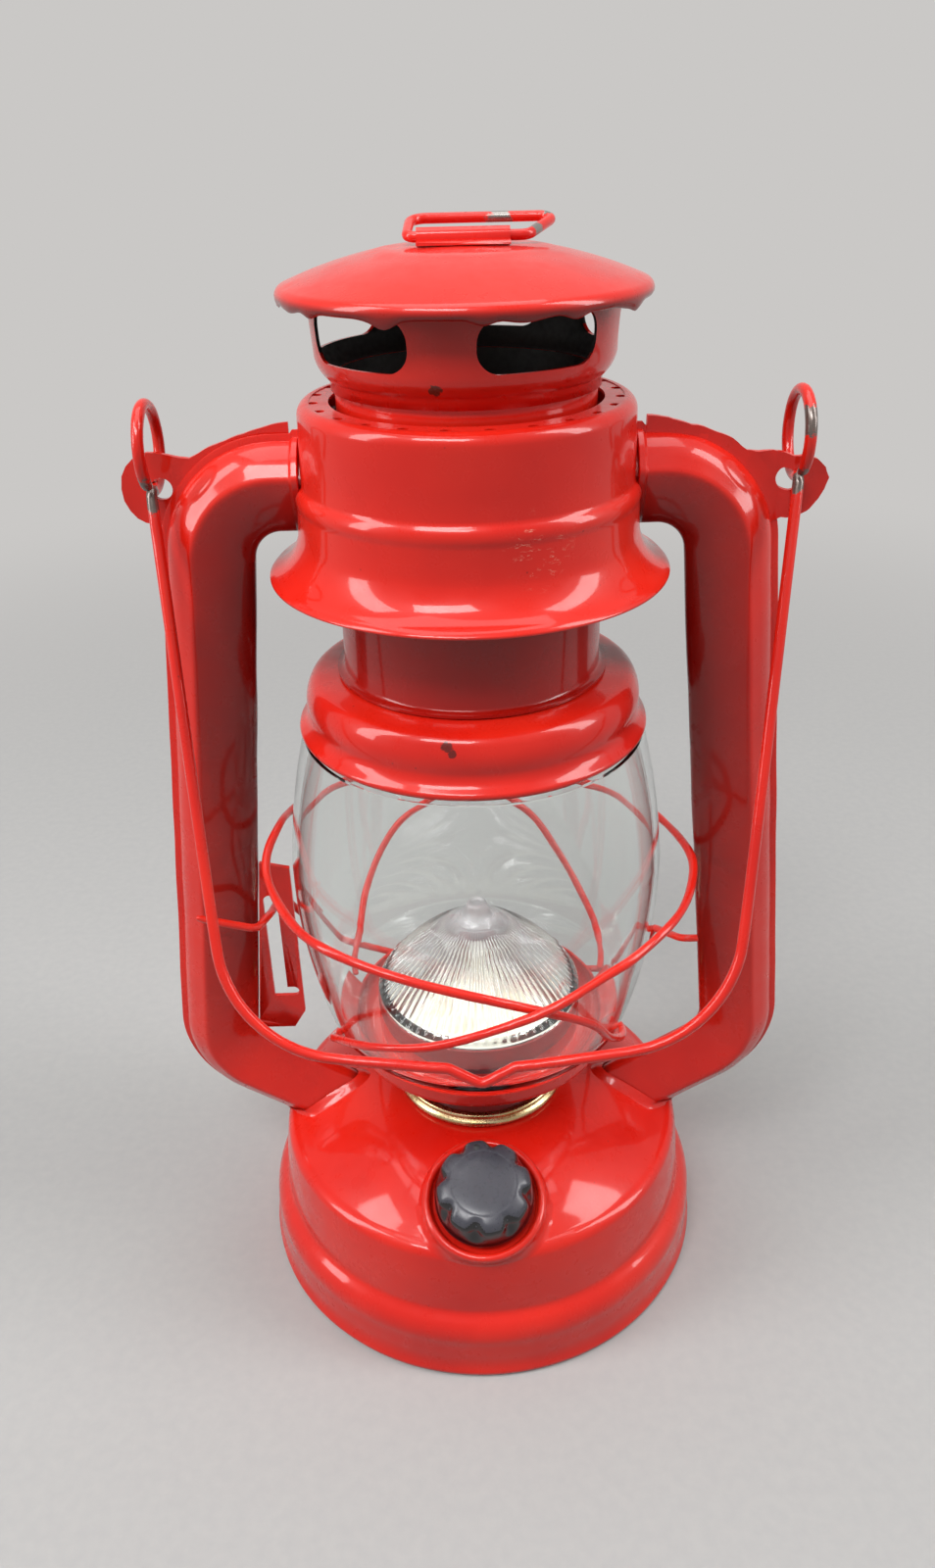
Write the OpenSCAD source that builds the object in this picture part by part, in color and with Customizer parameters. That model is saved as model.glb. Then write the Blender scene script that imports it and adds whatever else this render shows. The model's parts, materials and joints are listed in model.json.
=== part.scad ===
// Small hurricane lantern in pressed sheet steel, with an electric lamp under its glass globe.
// The lantern stands on z = 0 with its axis on Z. Its knob faces -Y and its side tubes lie along X.

/* [Sheet metal] */
// Thickness of the pressed sheet
sheet = 0.7; // [0.5:0.05:1]
// Gap left between pieces that are soldered or seated
seat_gap = 0.05; // [0.03:0.01:0.1]
// Gap left between pieces that move past each other
run_gap = 0.4; // [0.3:0.05:0.7]

/* [Base] */
// Diameter over the rolled foot
base_d = 115; // [108:1:124]
// Radius of the rolled foot bead
bead_r = 1.6; // [1.3:0.1:2]
// Depth of the flat under the bead
bead_flat = 0.25; // [0.15:0.05:0.4]
// How far the wall's foot lies inside the bead
wall_inset = 3.2; // [2:0.2:5]
// Height of the wall's foot, above the convex roll
wall_foot_z = 17.5; // [14:0.5:20]
// How far the wall draws in from its foot to its top
wall_draft = 2.6; // [1:0.2:4]
// Height of the wall's top
wall_top_z = 34; // [32:0.5:38]
// Width of the rounded shoulder between wall and dome
shoulder = 2.4; // [1.5:0.1:3.5]
// Diameter of the neck on top of the dome
neck_d = 42; // [38:0.5:46]
// Height of the neck
neck_z = 46.5; // [45:0.5:52]
// Radius of the dome's bowed line
dome_bow = 67; // [55:1:100]

/* [Side tubes] */
// Width of a side tube across its bends
tube_w = 18.4; // [16:0.2:20]
// Depth of a side tube from front to back
tube_depth = 15; // [12:0.5:17]
// Height of the upper run's centre line
tube_top_z = 202.3; // [198:0.5:206]
// Distance from the axis to the upper bend's centre
tube_bend_x = 38; // [37:0.5:42]
// Centre line radius of the bends
tube_bend_r = 15; // [13:0.5:18]
// Outward splay of the long run
tube_splay = 5.9; // [4:0.1:7]
// Height where the lower bend starts
tube_foot_z = 66; // [62:0.5:72]
// Slope of the lower run into the base
tube_foot_slope = 33; // [28:0.5:40]
// Width of the seam flange outside the tube
flange_w = 1.5; // [1.2:0.1:2.2]
// Thickness of the seam flange and ear
flange_t = 1; // [0.8:0.1:1.4]

/* [Drum] */
// Diameter of the drum at its shoulder
drum_top_d = 65.8; // [62:0.2:70]
// Diameter of the drum above its skirt
drum_low_d = 69.2; // [66:0.2:73]
// Diameter of the skirt's edge
skirt_d = 82; // [76:0.5:88]
// Height of the skirt's edge
skirt_z = 185.2; // [182:0.2:188]
// Height of the skirt's flare
skirt_h = 8; // [6:0.2:9]
// Height of the step round the drum
drum_step_z = 202.4; // [199:0.2:206]
// Height of the drum's top
drum_top_z = 219.4; // [217:0.2:224]
// Width of the lip turned in at the top
drum_lip = 2.7; // [2.4:0.1:3.2]
// Number of vent holes round the top plate
vent_holes = 22; // [16:1:28]
// Diameter of a vent hole
vent_d = 1.7; // [1.2:0.1:2.2]
// Radial gap round the chimney in the top plate
plate_gap = 1.4; // [0.8:0.1:2]

/* [Hood] */
// Diameter of the neck tube over the globe
chimney_d = 54.4; // [52:0.2:58]
// Diameter of the inner tube under the crown
inner_tube_d = 50.4; // [48:0.2:52]
// Width of the spring's seat on the chimney
spring_seat = 3.4; // [2.6:0.1:3.8]
// Height of the spring's seat
spring_seat_z = 195.4; // [194:0.2:200]
// How far the collar's lip stands out past the globe under it
collar_over = 0.3; // [0.1:0.1:1]
// Height of the collar's lower edge
collar_z = 150.2; // [148:0.2:154]
// Height of the collar
collar_h = 13.4; // [11:0.2:16]
// Diameter of the crown
crown_d = 58.4; // [56:0.2:62]
// Height of the crown's lower edge
crown_z = 221.6; // [221:0.2:225]
// Number of crown windows
windows = 5; // [4:1:6]
// Angle that a window takes round the crown
window_angle = 48; // [36:1:52]
// Turn of the crown from its front pillar
crown_turn = -8.5; // [-20:0.5:20]
// Height of the windows' lower edge above the crown's edge
window_z = 6.2; // [5:0.2:7]
// Height of a window
window_h = 9.4; // [8:0.2:10]
// Diameter of the cap
cap_d = 69.8; // [66:0.2:76]
// Height of the cap's lower edge
cap_z = 236.8; // [236:0.2:240]
// Height of the cap's rim
cap_rim = 3; // [2:0.1:4]
// Rise of the cap from its rim to its flat top
cap_rise = 5.9; // [5:0.1:9]
// Diameter of the cap's flat top
cap_flat_d = 22; // [22:0.5:28]
// How far the hood lifts
hood_lift = 12; // [8:0.5:13]

/* [Globe] */
// Largest diameter of the globe
globe_d = 86; // [82:0.5:88]
// Height of the largest diameter
globe_mid_z = 113; // [108:0.5:118]
// Thickness of the glass
glass_t = 1.8; // [1.4:0.1:2.4]
// Diameter of the globe where it leaves the dish
globe_low_d = 74.6; // [72:0.2:77]
// Diameter of the globe under the collar
globe_top_d = 75; // [73:0.2:77]
// Diameter of the globe's foot ring
globe_foot_d = 56; // [52:0.5:58]
// Diameter of the dish
dish_d = 66; // [64:0.2:69]
// Height of the dish's underside
dish_z = 64; // [62:0.2:66]
// Height of the dish
dish_h = 4.5; // [4:0.1:5]
// Diameter of the hole in the dish
dish_hole_d = 42; // [40:0.5:46]
// Thickness of a guard wire
guard_d = 1.6; // [1.2:0.1:2]

/* [Lamp] */
// Diameter of the lamp's stem
post_d = 30; // [24:0.5:34]
// Height of the lamp's flange
lamp_z = 70; // [69:0.2:73]
// Diameter of the lens cone's base
lens_d = 50; // [44:0.5:51]
// Height of the lens cone without its tip
lens_h = 23.5; // [18:0.5:25]
// Diameter of the lens's tip
lens_tip_d = 7; // [6:0.5:10]
// Height of the lens's tip
lens_tip_h = 5; // [4:0.5:8]
// Number of ribs round the lens
lens_ribs = 40; // [30:2:48]
// Depth of a lens rib
rib_depth = 0.5; // [0.3:0.05:0.8]
// Number of emitters in the outer ring
emitters = 9; // [6:1:12]

/* [Bail] */
// Thickness of the bail's wire
bail_wire = 2.2; // [1.8:0.1:2.6]
// Mean radius of the bail's eyes
eye_r = 8.3; // [7.8:0.1:9]
// Distance from the axis to the left eye
eye_x = 62.6; // [62:0.2:64]
// How much farther out the right eye is bent
eye_shift = 2.6; // [0:0.2:4]
// Height of the hinge line through the eyes
eye_z = 210.5; // [209.5:0.5:212]
// Length of the bail from its hinge line to its hand grip
bail_len = 127; // [122:1:140]
// Half width of the bail at its grip's corners
bail_half = 52; // [51.5:0.5:54]
// Radius of the grip's corners
bail_bend = 27; // [22:1:30]
// Depth of the notch in the grip
notch = 3.6; // [2:0.2:5]
// Forward lean of the bail at rest
bail_lean = 23.7; // [23.5:0.1:26]

/* [Lift ring] */
// Thickness of the ring's wire
ring_wire = 1.6; // [1.2:0.1:1.8]
// Length of the strap that holds the ring
strap_len = 17; // [14:0.5:19]
// Length of the ring at its far side
ring_len = 28; // [25:0.5:30]
// Reach of the ring from its strap
ring_reach = 13; // [11:0.5:16]
// Upward lean of the ring at rest
ring_lean = 11; // [9:0.5:30]

/* [Globe lever] */
// Thickness of the lever's wire
lever_wire = 1.8; // [1.5:0.1:2]
// Distance from the axis to the lever's pivot
pivot_x = 56.5; // [56:0.5:58]
// Height of the lever's pivot
pivot_z = 87.5; // [85:0.5:90]
// Distance from the axis to the slot
slot_x = 50; // [49:0.5:51]
// Height of the lever in the slot
slot_lever_z = 98.5; // [97:0.5:100]
// How far the globe drops
globe_drop = 10; // [8:0.5:10]

/* [Dimmer] */
// Diameter of the knob
knob_d = 23.4; // [20:0.2:24.4]
// Height of the knob
knob_h = 10; // [8:0.2:13]
// Number of flutes round the knob
knob_flutes = 10; // [8:1:12]
// Diameter over the knob's boss
boss_d = 29.2; // [28:0.2:32]
// Depth of the boss's floor
boss_depth = 2.5; // [2:0.1:3.5]
// Backward tilt of the boss from level
boss_tilt = 21; // [17:0.5:26]
// How far the boss's centre lies inside the foot's edge
boss_in = 16.2; // [15.5:0.1:17.5]
// Height of the boss's rim
boss_z = 44.3; // [43.5:0.1:46]
// Diameter of the control's shaft
shaft_d = 6; // [5:0.1:6.4]

/* [Cells] */
// Diameter of a round cell
cell_d = 34.2; // [32:0.1:34.2]
// Length of a round cell
cell_len = 61.5; // [58:0.5:61.5]
// How far the middle of the cell bay lies inside the foot's edge
bay_in = 52.5; // [51:0.5:54]
// Length of a contact spring
contact_len = 6; // [4:0.5:6]
// Thickness of the cover and its door
cover_t = 1.8; // [1.4:0.1:2]
// Gap round the battery door
door_gap = 0.3; // [0.3:0.05:0.5]

/* [Hidden] */
$fn = 64;
red = "#c8281e";
deep_red = "#8f1a14";

// Line and arc helpers for turned profiles, as points [radius, height]
function unit(v) = v / norm(v);
function left_of(v) = [-v.y, v.x];
function bow(p, q, r, n = 8) =
    let (m = (p + q) / 2, c = norm(q - p), side = r > 0 ? 1 : -1,
         o = m + side * left_of(unit(q - p)) * sqrt(r * r - c * c / 4),
         a = p - o, turn = side * 2 * asin(c / 2 / abs(r)))
    [for (i = [0:n]) let (t = turn * i / n)
        o + [a.x * cos(t) - a.y * sin(t), a.x * sin(t) + a.y * cos(t)]];
function shifted(line, d) =
    [for (i = [0:len(line) - 1])
        let (a = i > 0 ? unit(line[i] - line[i - 1]) : unit(line[1] - line[0]),
             b = i < len(line) - 1 ? unit(line[i + 1] - line[i]) : a)
        line[i] + d * (left_of(a) + left_of(b)) / (1 + a * b)];
function flipped(line) = [for (i = [len(line) - 1:-1:0]) line[i]];
function clipped(line) = [for (p = line) [max(p.x, 0), p.y]];
function band(line, t) = concat(line, flipped(clipped(shifted(line, t))));

// A turned piece of sheet: the line is its outer face, the thickness lies on its left
module turned(line, t = sheet) rotate_extrude($fn = 96) polygon(band(line, t));
module ring(r_in, r_out, z, h) translate([0, 0, z]) difference() {
    cylinder(r = r_out, h = h);
    translate([0, 0, -1]) cylinder(r = r_in, h = h + 2);
}

// A round wire is one tube swept along points, with its frame carried from point to point
function heading(pts, i) = unit(pts[min(i + 1, len(pts) - 1)] - pts[max(i - 1, 0)]);
function across(n, t) = unit(n - (n * t) * t);
module tube_along(pts, d, sides = 8, side = [0.31, 0.17, 0.93], closed = false) {
    last = len(pts) - 1;
    around = closed ? concat([pts[last]], pts, [pts[0]]) : pts;
    t = [for (i = [0:last]) closed ? heading(around, i + 1) : heading(pts, i)];
    n = [for (i = 0, v = across(side, t[0]); i <= last; i = i + 1, v = i <= last ? across(v, t[i]) : v) v];
    skin = [for (i = [0:last]) for (k = [0:sides - 1])
        pts[i] + d / 2 * (n[i] * cos(360 * k / sides) + cross(t[i], n[i]) * sin(360 * k / sides))];
    walls = [for (i = [0:closed ? last : last - 1]) for (k = [0:sides - 1])
        let (j = (i + 1) % (last + 1), a = i * sides + k, b = i * sides + (k + 1) % sides,
             c = j * sides + (k + 1) % sides, e = j * sides + k)
        each [[a, c, b], [a, e, c]]];
    ends = closed ? [] : [for (k = [1:sides - 2])
        each [[0, k, k + 1], [last * sides, last * sides + k + 1, last * sides + k]]];
    polyhedron(skin, concat(walls, ends));
}
// Points of a polyline with its corners bent to a radius, and of a smooth curve through points
function bent(pts, r, steps = 4, closed = false) =
    [for (i = [0:len(pts) - 1])
        let (last = len(pts) - 1, before = i > 0 ? i - 1 : last, after = i < last ? i + 1 : 0,
             straight = !closed && (i == 0 || i == last),
             u = straight ? [0, 0, 1] : unit(pts[i] - pts[before]),
             v = straight ? u : unit(pts[after] - pts[i]),
             turn = acos(max(-1, min(1, u * v))))
        each turn < 0.5 ? [pts[i]] :
            let (w = unit(v - (u * v) * u), c = pts[i] - u * r * tan(turn / 2) + w * r)
            [for (k = [0:steps]) c + r * (u * sin(turn * k / steps) - w * cos(turn * k / steps))]];
function between(a, b, c, d, t) =
    ((2 * b) + (c - a) * t + (2 * a - 5 * b + 4 * c - d) * t * t + (3 * b - a - 3 * c + d) * t * t * t) / 2;
function curve(pts, steps = 4) = let (last = len(pts) - 1)
    concat([for (i = [0:last - 1]) for (k = [0:steps - 1])
        between(pts[max(i - 1, 0)], pts[i], pts[i + 1], pts[min(i + 2, last)], k / steps)], [pts[last]]);

// Points of a coil on Z, and its least gap to itself measured on those points
function coil_points(r, d, h, turns, per_turn) =
    [for (i = [0:turns * per_turn])
        [r * cos(360 * i / per_turn), r * sin(360 * i / per_turn), d / 2 + (h - d) * i / turns / per_turn]];
function coil_gap(pts, per_turn, d) =
    min([for (i = [0:len(pts) - 1 - per_turn]) norm(pts[i + per_turn] - pts[i])]) - d;
module coil(r, d, h, turns, per_turn) tube_along(coil_points(r, d, h, turns, per_turn), d, 6);

// Base
base_r = base_d / 2;
neck_r = neck_d / 2;
boss_y = base_r - boss_in;
bead_z = bead_r - bead_flat;
bead_top = bead_z + bead_r;
wall_foot_r = base_r - wall_inset;
wall_top_r = wall_foot_r - wall_draft;
dome_r = wall_top_r - shoulder;
dome_z = wall_top_z + shoulder;
roll_bow = 15;
roll_start = [base_r - bead_r / 2, bead_top + 0.6];
base_line = concat(
    [[base_r - bead_r, bead_z]],
    bow(roll_start, [wall_foot_r, wall_foot_z], roll_bow, 8),
    bow([wall_top_r, wall_top_z], [dome_r, dome_z], shoulder * 1.3, 5),
    bow([dome_r - 0.6, dome_z + 0.4], [neck_r, neck_z], dome_bow, 8));
module base_envelope(grow = 0) rotate_extrude($fn = 96)
    polygon(concat([[0, 0]], shifted(base_line, -grow), [[0, neck_z + grow]]));

// Dimmer frame on the boss's rim, with the knob's axis on Z
shaft_r = shaft_d / 2;
boss_wall_h = 9;
bushing_r = shaft_r + 1.4;
module on_boss() translate([0, -boss_y, boss_z]) rotate([boss_tilt, 0, 0]) children();
function boss_point(y, z) = [0, y * cos(boss_tilt) - z * sin(boss_tilt) - boss_y,
                             y * sin(boss_tilt) + z * cos(boss_tilt) + boss_z];

module base_shell() color(red) difference() {
    union() {
        rotate_extrude($fn = 96) difference() {
            union() {
                polygon(band(base_line, sheet));
                translate([base_r - bead_r, bead_z]) circle(r = bead_r, $fn = 32);
            }
            translate([0, -2 * bead_r]) square([base_r + bead_r, 2 * bead_r]);
        }
        on_boss() translate([0, 0, -boss_wall_h]) cylinder(d = boss_d, h = boss_wall_h);
    }
    on_boss() {
        translate([0, 0, -2 * boss_wall_h])
            cylinder(d = boss_d - 2 * sheet, h = 2 * boss_wall_h - boss_depth - sheet);
        translate([0, 0, -boss_depth]) cylinder(d = knob_d + 2, h = 2 * boss_depth);
        translate([0, 0, -boss_wall_h]) cylinder(r = bushing_r + seat_gap, h = boss_wall_h);
    }
}

// Cells lie along Y in a bay behind the dimmer
cover_r = base_r - bead_r - 1;
cover_z = bead_top + seat_gap;
cell_r = cell_d / 2;
bay_y = base_r - bay_in;
bay_len = cell_len + contact_len + 2 * seat_gap;
bay_w = 2 * cell_d + 1.6;
tray_t = 1.5;
tray_z = cover_z + cover_t;
cell_z = tray_z + run_gap + cell_r;
tray_wall_w = 58;
tray_front_h = 20;
tray_back_h = 24;
function bay_end(side) = bay_y + side * bay_len / 2;

module bay_cut(gap) translate([-bay_w / 2 - gap, bay_end(-1) - gap, 0])
    cube([bay_w + 2 * gap, bay_len + 2 * gap, 40]);
module bottom_cover() color("#2a2a2c") difference() {
    translate([0, 0, cover_z]) cylinder(r = cover_r, h = cover_t);
    bay_cut(0);
}
module battery_door() color("#232325") {
    translate([-bay_w / 2 + door_gap, bay_end(-1) + door_gap, cover_z])
        cube([bay_w - 2 * door_gap, bay_len - 2 * door_gap, cover_t]);
    for (k = [-2:2]) translate([k * 8 - 1.2, bay_end(-1) + 4, cover_z - 0.8]) cube([2.4, 10, 0.8]);
}
module battery_tray() color("#1f1f21") {
    difference() {
        translate([-bay_w / 2 - tray_t, bay_end(-1) - tray_t, tray_z])
            cube([bay_w + 2 * tray_t, bay_len + 2 * tray_t, tray_t]);
        bay_cut(0);
    }
    translate([-tray_wall_w / 2, bay_end(-1) - tray_t, tray_z]) cube([tray_wall_w, tray_t, tray_front_h]);
    translate([-tray_wall_w / 2, bay_end(1), tray_z]) cube([tray_wall_w, tray_t, tray_back_h]);
}

// A cell from its flat end at the origin, with its raised contact along +Y
contact_nub = 1.6;
module cell() rotate([-90, 0, 0]) {
    cylinder(r = cell_r - 0.5, h = 1);
    translate([0, 0, 0.6]) cylinder(r = cell_r, h = cell_len - contact_nub - 1.2);
    cylinder(r = cell_r * 0.92, h = cell_len - contact_nub);
    cylinder(r = cell_r * 0.28, h = cell_len);
}
module at_left_cell() translate([-cell_r - seat_gap, bay_end(-1), cell_z]) children();
module at_right_cell() translate([cell_r + seat_gap, bay_end(1), cell_z]) rotate(180) children();
cell_start = contact_len + seat_gap;
module battery_left() color("#3b3b40") at_left_cell() translate([0, cell_start, 0]) cell();
module battery_right() color("#3b3b40") at_right_cell() translate([0, cell_start, 0]) cell();

contact_wire = 0.9;
contact_r = cell_r * 0.29;
contact_turns = 3;
module contact_spring() translate([0, seat_gap, 0]) rotate([-90, 0, 0])
    coil(contact_r, contact_wire, contact_len - seat_gap, contact_turns, 8);
module contact_springs() color("silver") {
    at_left_cell() contact_spring();
    at_right_cell() contact_spring();
}
contact_t = 0.4;
module contact_plate() translate([-contact_r * 1.2, -tray_t - contact_t - seat_gap, -contact_r])
    cube([contact_r * 2.4, contact_t, contact_r * 2]);
module contact_plates() color("silver") {
    at_left_cell() contact_plate();
    at_right_cell() contact_plate();
}

// Dimmer
control_d = shaft_d * 2.1;
control_h = shaft_d;
control_top = -boss_depth - sheet - seat_gap;
nut_h = 1.6;
knob_floor = nut_h + 0.6 - boss_depth;
shaft_in = 7;
module dimmer_body() color("#5a5a5e") on_boss() difference() {
    union() {
        translate([0, 0, control_top - control_h]) cylinder(d = control_d, h = control_h);
        translate([0, 0, control_top - 1]) cylinder(r = bushing_r, h = boss_depth + nut_h);
    }
    translate([0, 0, control_top - control_h + 1]) cylinder(r = shaft_r + seat_gap, h = 2 * control_h);
}
module dimmer_nut() color("silver") on_boss() translate([0, 0, -boss_depth + seat_gap]) difference() {
    cylinder(r = bushing_r + 2, h = nut_h, $fn = 6);
    translate([0, 0, -1]) cylinder(r = bushing_r + seat_gap, h = nut_h + 2);
}
module dimmer_shaft() color("silver") on_boss()
    translate([0, 0, control_top - control_h + 1.2]) cylinder(r = shaft_r, h = control_h + shaft_in);
knob_r = knob_d / 2;
flute_r = 2.4;
module knob() color("#141416") on_boss() translate([0, 0, knob_floor]) difference() {
    rotate_extrude($fn = 96) polygon(concat(
        [[0, 0], [knob_r - 0.4, 0], [knob_r, 0.6]],
        bow([knob_r - 0.5, knob_h * 0.7], [knob_r - 3, knob_h - 0.5], 3.4, 5),
        [[knob_r - 4, knob_h], [0, knob_h]]));
    for (k = [1:knob_flutes]) rotate(360 * (k - 0.5) / knob_flutes)
        translate([knob_r + flute_r * 0.55, 0, 1.2]) cylinder(r = flute_r, h = knob_h, $fn = 32);
    translate([0, 0, knob_h - 0.5]) cylinder(r = knob_r * 0.62, h = 1);
    translate([0, knob_r * 0.76, knob_h - 0.7]) cylinder(r = 0.8, h = 2, $fn = 24);
    translate([0, 0, -1]) cylinder(r = shaft_r + 0.02, h = shaft_in + 2);
    translate([0, 0, -1]) cylinder(r = knob_r - 2.4, h = 1 + nut_h);
}
lead_d = 1.4;
lead_low = control_top - control_h - lead_d / 2 - 0.1;
lead_route = [boss_point(control_d / 5, lead_low), boss_point(control_d * 0.65, lead_low - 0.4),
              boss_point(boss_d / 2, lead_low - 1.4), [0, -post_d * 0.5, neck_z - post_d * 0.155],
              [0, -post_d * 0.3, neck_z - post_d * 0.075], [0, -post_d * 0.21, neck_z - post_d * 0.025],
              [0, -post_d * 0.2, neck_z + post_d * 0.035]];
lead_x = post_d * 0.135;
module lamp_leads() color("#b03030") for (x = [-lead_x, lead_x]) translate([x, 0, 0])
    tube_along(curve(lead_route, 3), lead_d, 6);

// Lamp
post_r = post_d / 2;
ring_h = 3.4;
lens_r = lens_d / 2;
flange_h = 2;
lens_t = 1.6;
lens_z = lamp_z + flange_h + seat_gap;
module neck_ring() color("#b9a878") rotate_extrude($fn = 96) {
    translate([neck_r - 1.7, neck_z + seat_gap]) square([1.9, ring_h]);
    translate([neck_r + 0.2, neck_z + seat_gap + 0.9]) circle(r = 0.85, $fn = 24);
    translate([neck_r + 0.1, neck_z + seat_gap + ring_h - 0.7]) circle(r = 0.6, $fn = 24);
}
module lamp_post() color("#7a1712") difference() {
    union() {
        translate([0, 0, neck_z]) cylinder(r = neck_r - 1.8, h = 1.4);
        translate([0, 0, neck_z]) cylinder(r = post_r, h = lamp_z - neck_z);
        translate([0, 0, lamp_z - 1.6]) cylinder(r1 = post_r, r2 = lens_r, h = 1.6);
        translate([0, 0, lamp_z]) cylinder(r = lens_r, h = flange_h);
    }
    translate([0, 0, neck_z - 1]) cylinder(r = post_r - 2, h = lamp_z - neck_z);
    for (x = [-lead_x, lead_x]) translate([x, -post_d * 0.2, neck_z - 2]) cylinder(r = lead_d, h = lamp_z);
}
board_r = lens_r - lens_t - 0.6;
board_t = 1.2;
module led_board() color("#f2f0e6") translate([0, 0, lens_z]) cylinder(r = board_r, h = board_t);
emitter_r = 2.4;
module led_emitters() color("#ffeeb0") translate([0, 0, lens_z + board_t + seat_gap]) {
    for (k = [1:emitters]) rotate(360 * k / emitters) translate([board_r * 0.68, 0, 0]) emitter();
    for (k = [1:3]) rotate(120 * k) translate([board_r * 0.28, 0, 0]) emitter();
}
module emitter() {
    cylinder(r = emitter_r, h = 1.2, $fn = 24);
    translate([0, 0, 1.2]) intersection() {
        sphere(r = emitter_r - 0.3, $fn = 24);
        cylinder(r = emitter_r, h = emitter_r);
    }
}

// The lens is a bowed cone with V ribs, drawn as rings of points on its outer and inner faces
lens_top = lens_tip_d / 2;
lens_rows = concat(
    [[lens_r, 0, 0], [lens_r - 0.2, 1.6, 0]],
    [for (p = bow([lens_r - 0.6, 2.2], [lens_top + 0.8, lens_h], 70, 5)) [p.x, p.y, 1]],
    [[lens_top, lens_h + 0.9, 0], [lens_top - 0.4, lens_h + lens_tip_h - 0.6, 0],
     [lens_top - 1.2, lens_h + lens_tip_h, 0]]);
lens_inner = concat(
    [[1.2, lens_h + 0.4, 0]],
    flipped([for (p = bow([lens_r - lens_t - 0.6, 2.2], [lens_top - 0.6, lens_h - 1.4], 70, 3))
        [p.x, p.y, 0]]),
    [[lens_r - lens_t, 0, 0]]);
module lens_cone() color([0.9, 0.92, 0.95, 0.5]) translate([0, 0, lens_z]) {
    sides = 2 * lens_ribs;
    rows = concat(lens_rows, lens_inner);
    count = len(rows);
    tip = len(lens_rows) - 1;
    skin = [for (p = rows) for (k = [0:sides - 1])
        let (r = p.x - p.z * rib_depth * (k % 2), a = 360 * k / sides) [r * cos(a), r * sin(a), p.y]];
    walls = [for (i = [0:count - 1]) if (i != tip) for (k = [0:sides - 1])
        let (a = i * sides + k, b = i * sides + (k + 1) % sides,
             c = (i + 1) % count * sides + k, d = (i + 1) % count * sides + (k + 1) % sides)
        each [[a, c, d], [a, d, b]]];
    caps = [[for (k = [0:sides - 1]) tip * sides + sides - 1 - k],
            [for (k = [0:sides - 1]) (tip + 1) * sides + k]];
    polyhedron(skin, concat(walls, caps));
}

// Side tubes: a section of two pressed halves, swept along the runs and bends in the XZ plane
function squarish(x) = sign(x) * pow(abs(x), 0.78);
function tube_section(w, d) =
    [for (a = [0:12:348])
        [w / 2 * squarish(cos(a)), d / 2 * squarish(sin(a)) * (1 - 0.22 * (1 - cos(a)) / 2)]];
bend_top = [tube_bend_x, tube_top_z - tube_bend_r];
run_start = bend_top + tube_bend_r * [cos(tube_splay), sin(tube_splay)];
run_len = round(100 * (run_start.y - tube_foot_z) / cos(tube_splay)) / 100;
run_end = run_start + run_len * [sin(tube_splay), -cos(tube_splay)];
bend_foot = run_end - tube_bend_r * [cos(tube_splay), sin(tube_splay)];
foot_angle = tube_foot_slope - 90;
foot_start = bend_foot + tube_bend_r * [cos(foot_angle), sin(foot_angle)];
tube_in_drum = 13;
tube_in_base = 34;
sleeve_len = 0.6;
sleeve_lap = 0.03;
module run(p, angle, length) translate(p) rotate(angle) rotate([90, 0, 0])
    linear_extrude(length) children();
module bend(c, from, to) translate(c) rotate(to) rotate_extrude(angle = from - to)
    translate([tube_bend_r, 0]) children();
module sleeve(p, angle) translate(p) rotate(angle) translate([0, sleeve_len / 2, 0]) rotate([90, 0, 0])
    linear_extrude(sleeve_len) children();
// Each run and bend is joined to the next by a short sleeve of the second section
module tube_sweep() rotate([90, 0, 0]) {
    run([tube_bend_x - tube_in_drum, tube_top_z], 90, tube_in_drum) children(0);
    sleeve([tube_bend_x, tube_top_z], 90) children(1);
    bend(bend_top, 90, tube_splay) children(0);
    sleeve(run_start, tube_splay) children(1);
    run(run_start, tube_splay, run_len) children(0);
    sleeve(run_end, tube_splay) children(1);
    bend(bend_foot, tube_splay, foot_angle) children(0);
    sleeve(foot_start, foot_angle) children(1);
    run(foot_start, foot_angle, tube_in_base) children(0);
}
module tube_solid(inset = 0) tube_sweep() {
    polygon(tube_section(tube_w - 2 * inset, tube_depth - 2 * inset));
    polygon(tube_section(tube_w - 2 * inset + 2 * sleeve_lap, tube_depth - 2 * inset + 2 * sleeve_lap));
}
module seam_flange() tube_sweep() {
    translate([tube_w / 2 - 1, -flange_t / 2]) square([flange_w + 1, flange_t]);
    translate([tube_w / 2 - 1, -flange_t / 2 - sleeve_lap])
        square([flange_w + 1 + sleeve_lap, flange_t + 2 * sleeve_lap]);
}
eye_hole_z = eye_z - eye_r;
eye_hole_r = bail_wire / 2 + 0.75;
ear_r = 7;
module ear(x) rotate([90, 0, 0]) linear_extrude(flange_t, center = true) difference() {
    union() {
        translate([x, eye_hole_z - 0.8]) circle(r = ear_r);
        polygon([[eye_x - 14, eye_hole_z + 9], [eye_x - 4.5, eye_hole_z + 5], [x, eye_hole_z + ear_r - 0.8],
                 [x, eye_hole_z - ear_r - 0.8], [eye_x - 3, eye_hole_z - ear_r - 4],
                 [eye_x - 12, eye_hole_z - ear_r]]);
    }
    translate([x, eye_hole_z]) circle(r = eye_hole_r, $fn = 32);
}
module side_tube(ear_x) color(red) difference() {
    union() {
        tube_solid();
        seam_flange();
        ear(ear_x);
        rotate([0, 90, 0]) translate([-tube_top_z, 0, drum_top_d / 2]) linear_extrude(3.4)
            rotate(180) polygon(tube_section(tube_w + 1.6, tube_depth + 1.6));
    }
    tube_solid(sheet);
    base_envelope(seat_gap);
    drum_envelope(seat_gap);
}
module side_tube_right() difference() {
    side_tube(eye_x + eye_shift);
    translate([0, 0, pivot_z]) rotate([0, 90, 0])
        cylinder(r = lever_wire / 2 + 0.75, h = pivot_x + tube_w / 4, $fn = 32);
}
module side_tube_left() mirror([1, 0, 0]) side_tube(eye_x);

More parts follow.
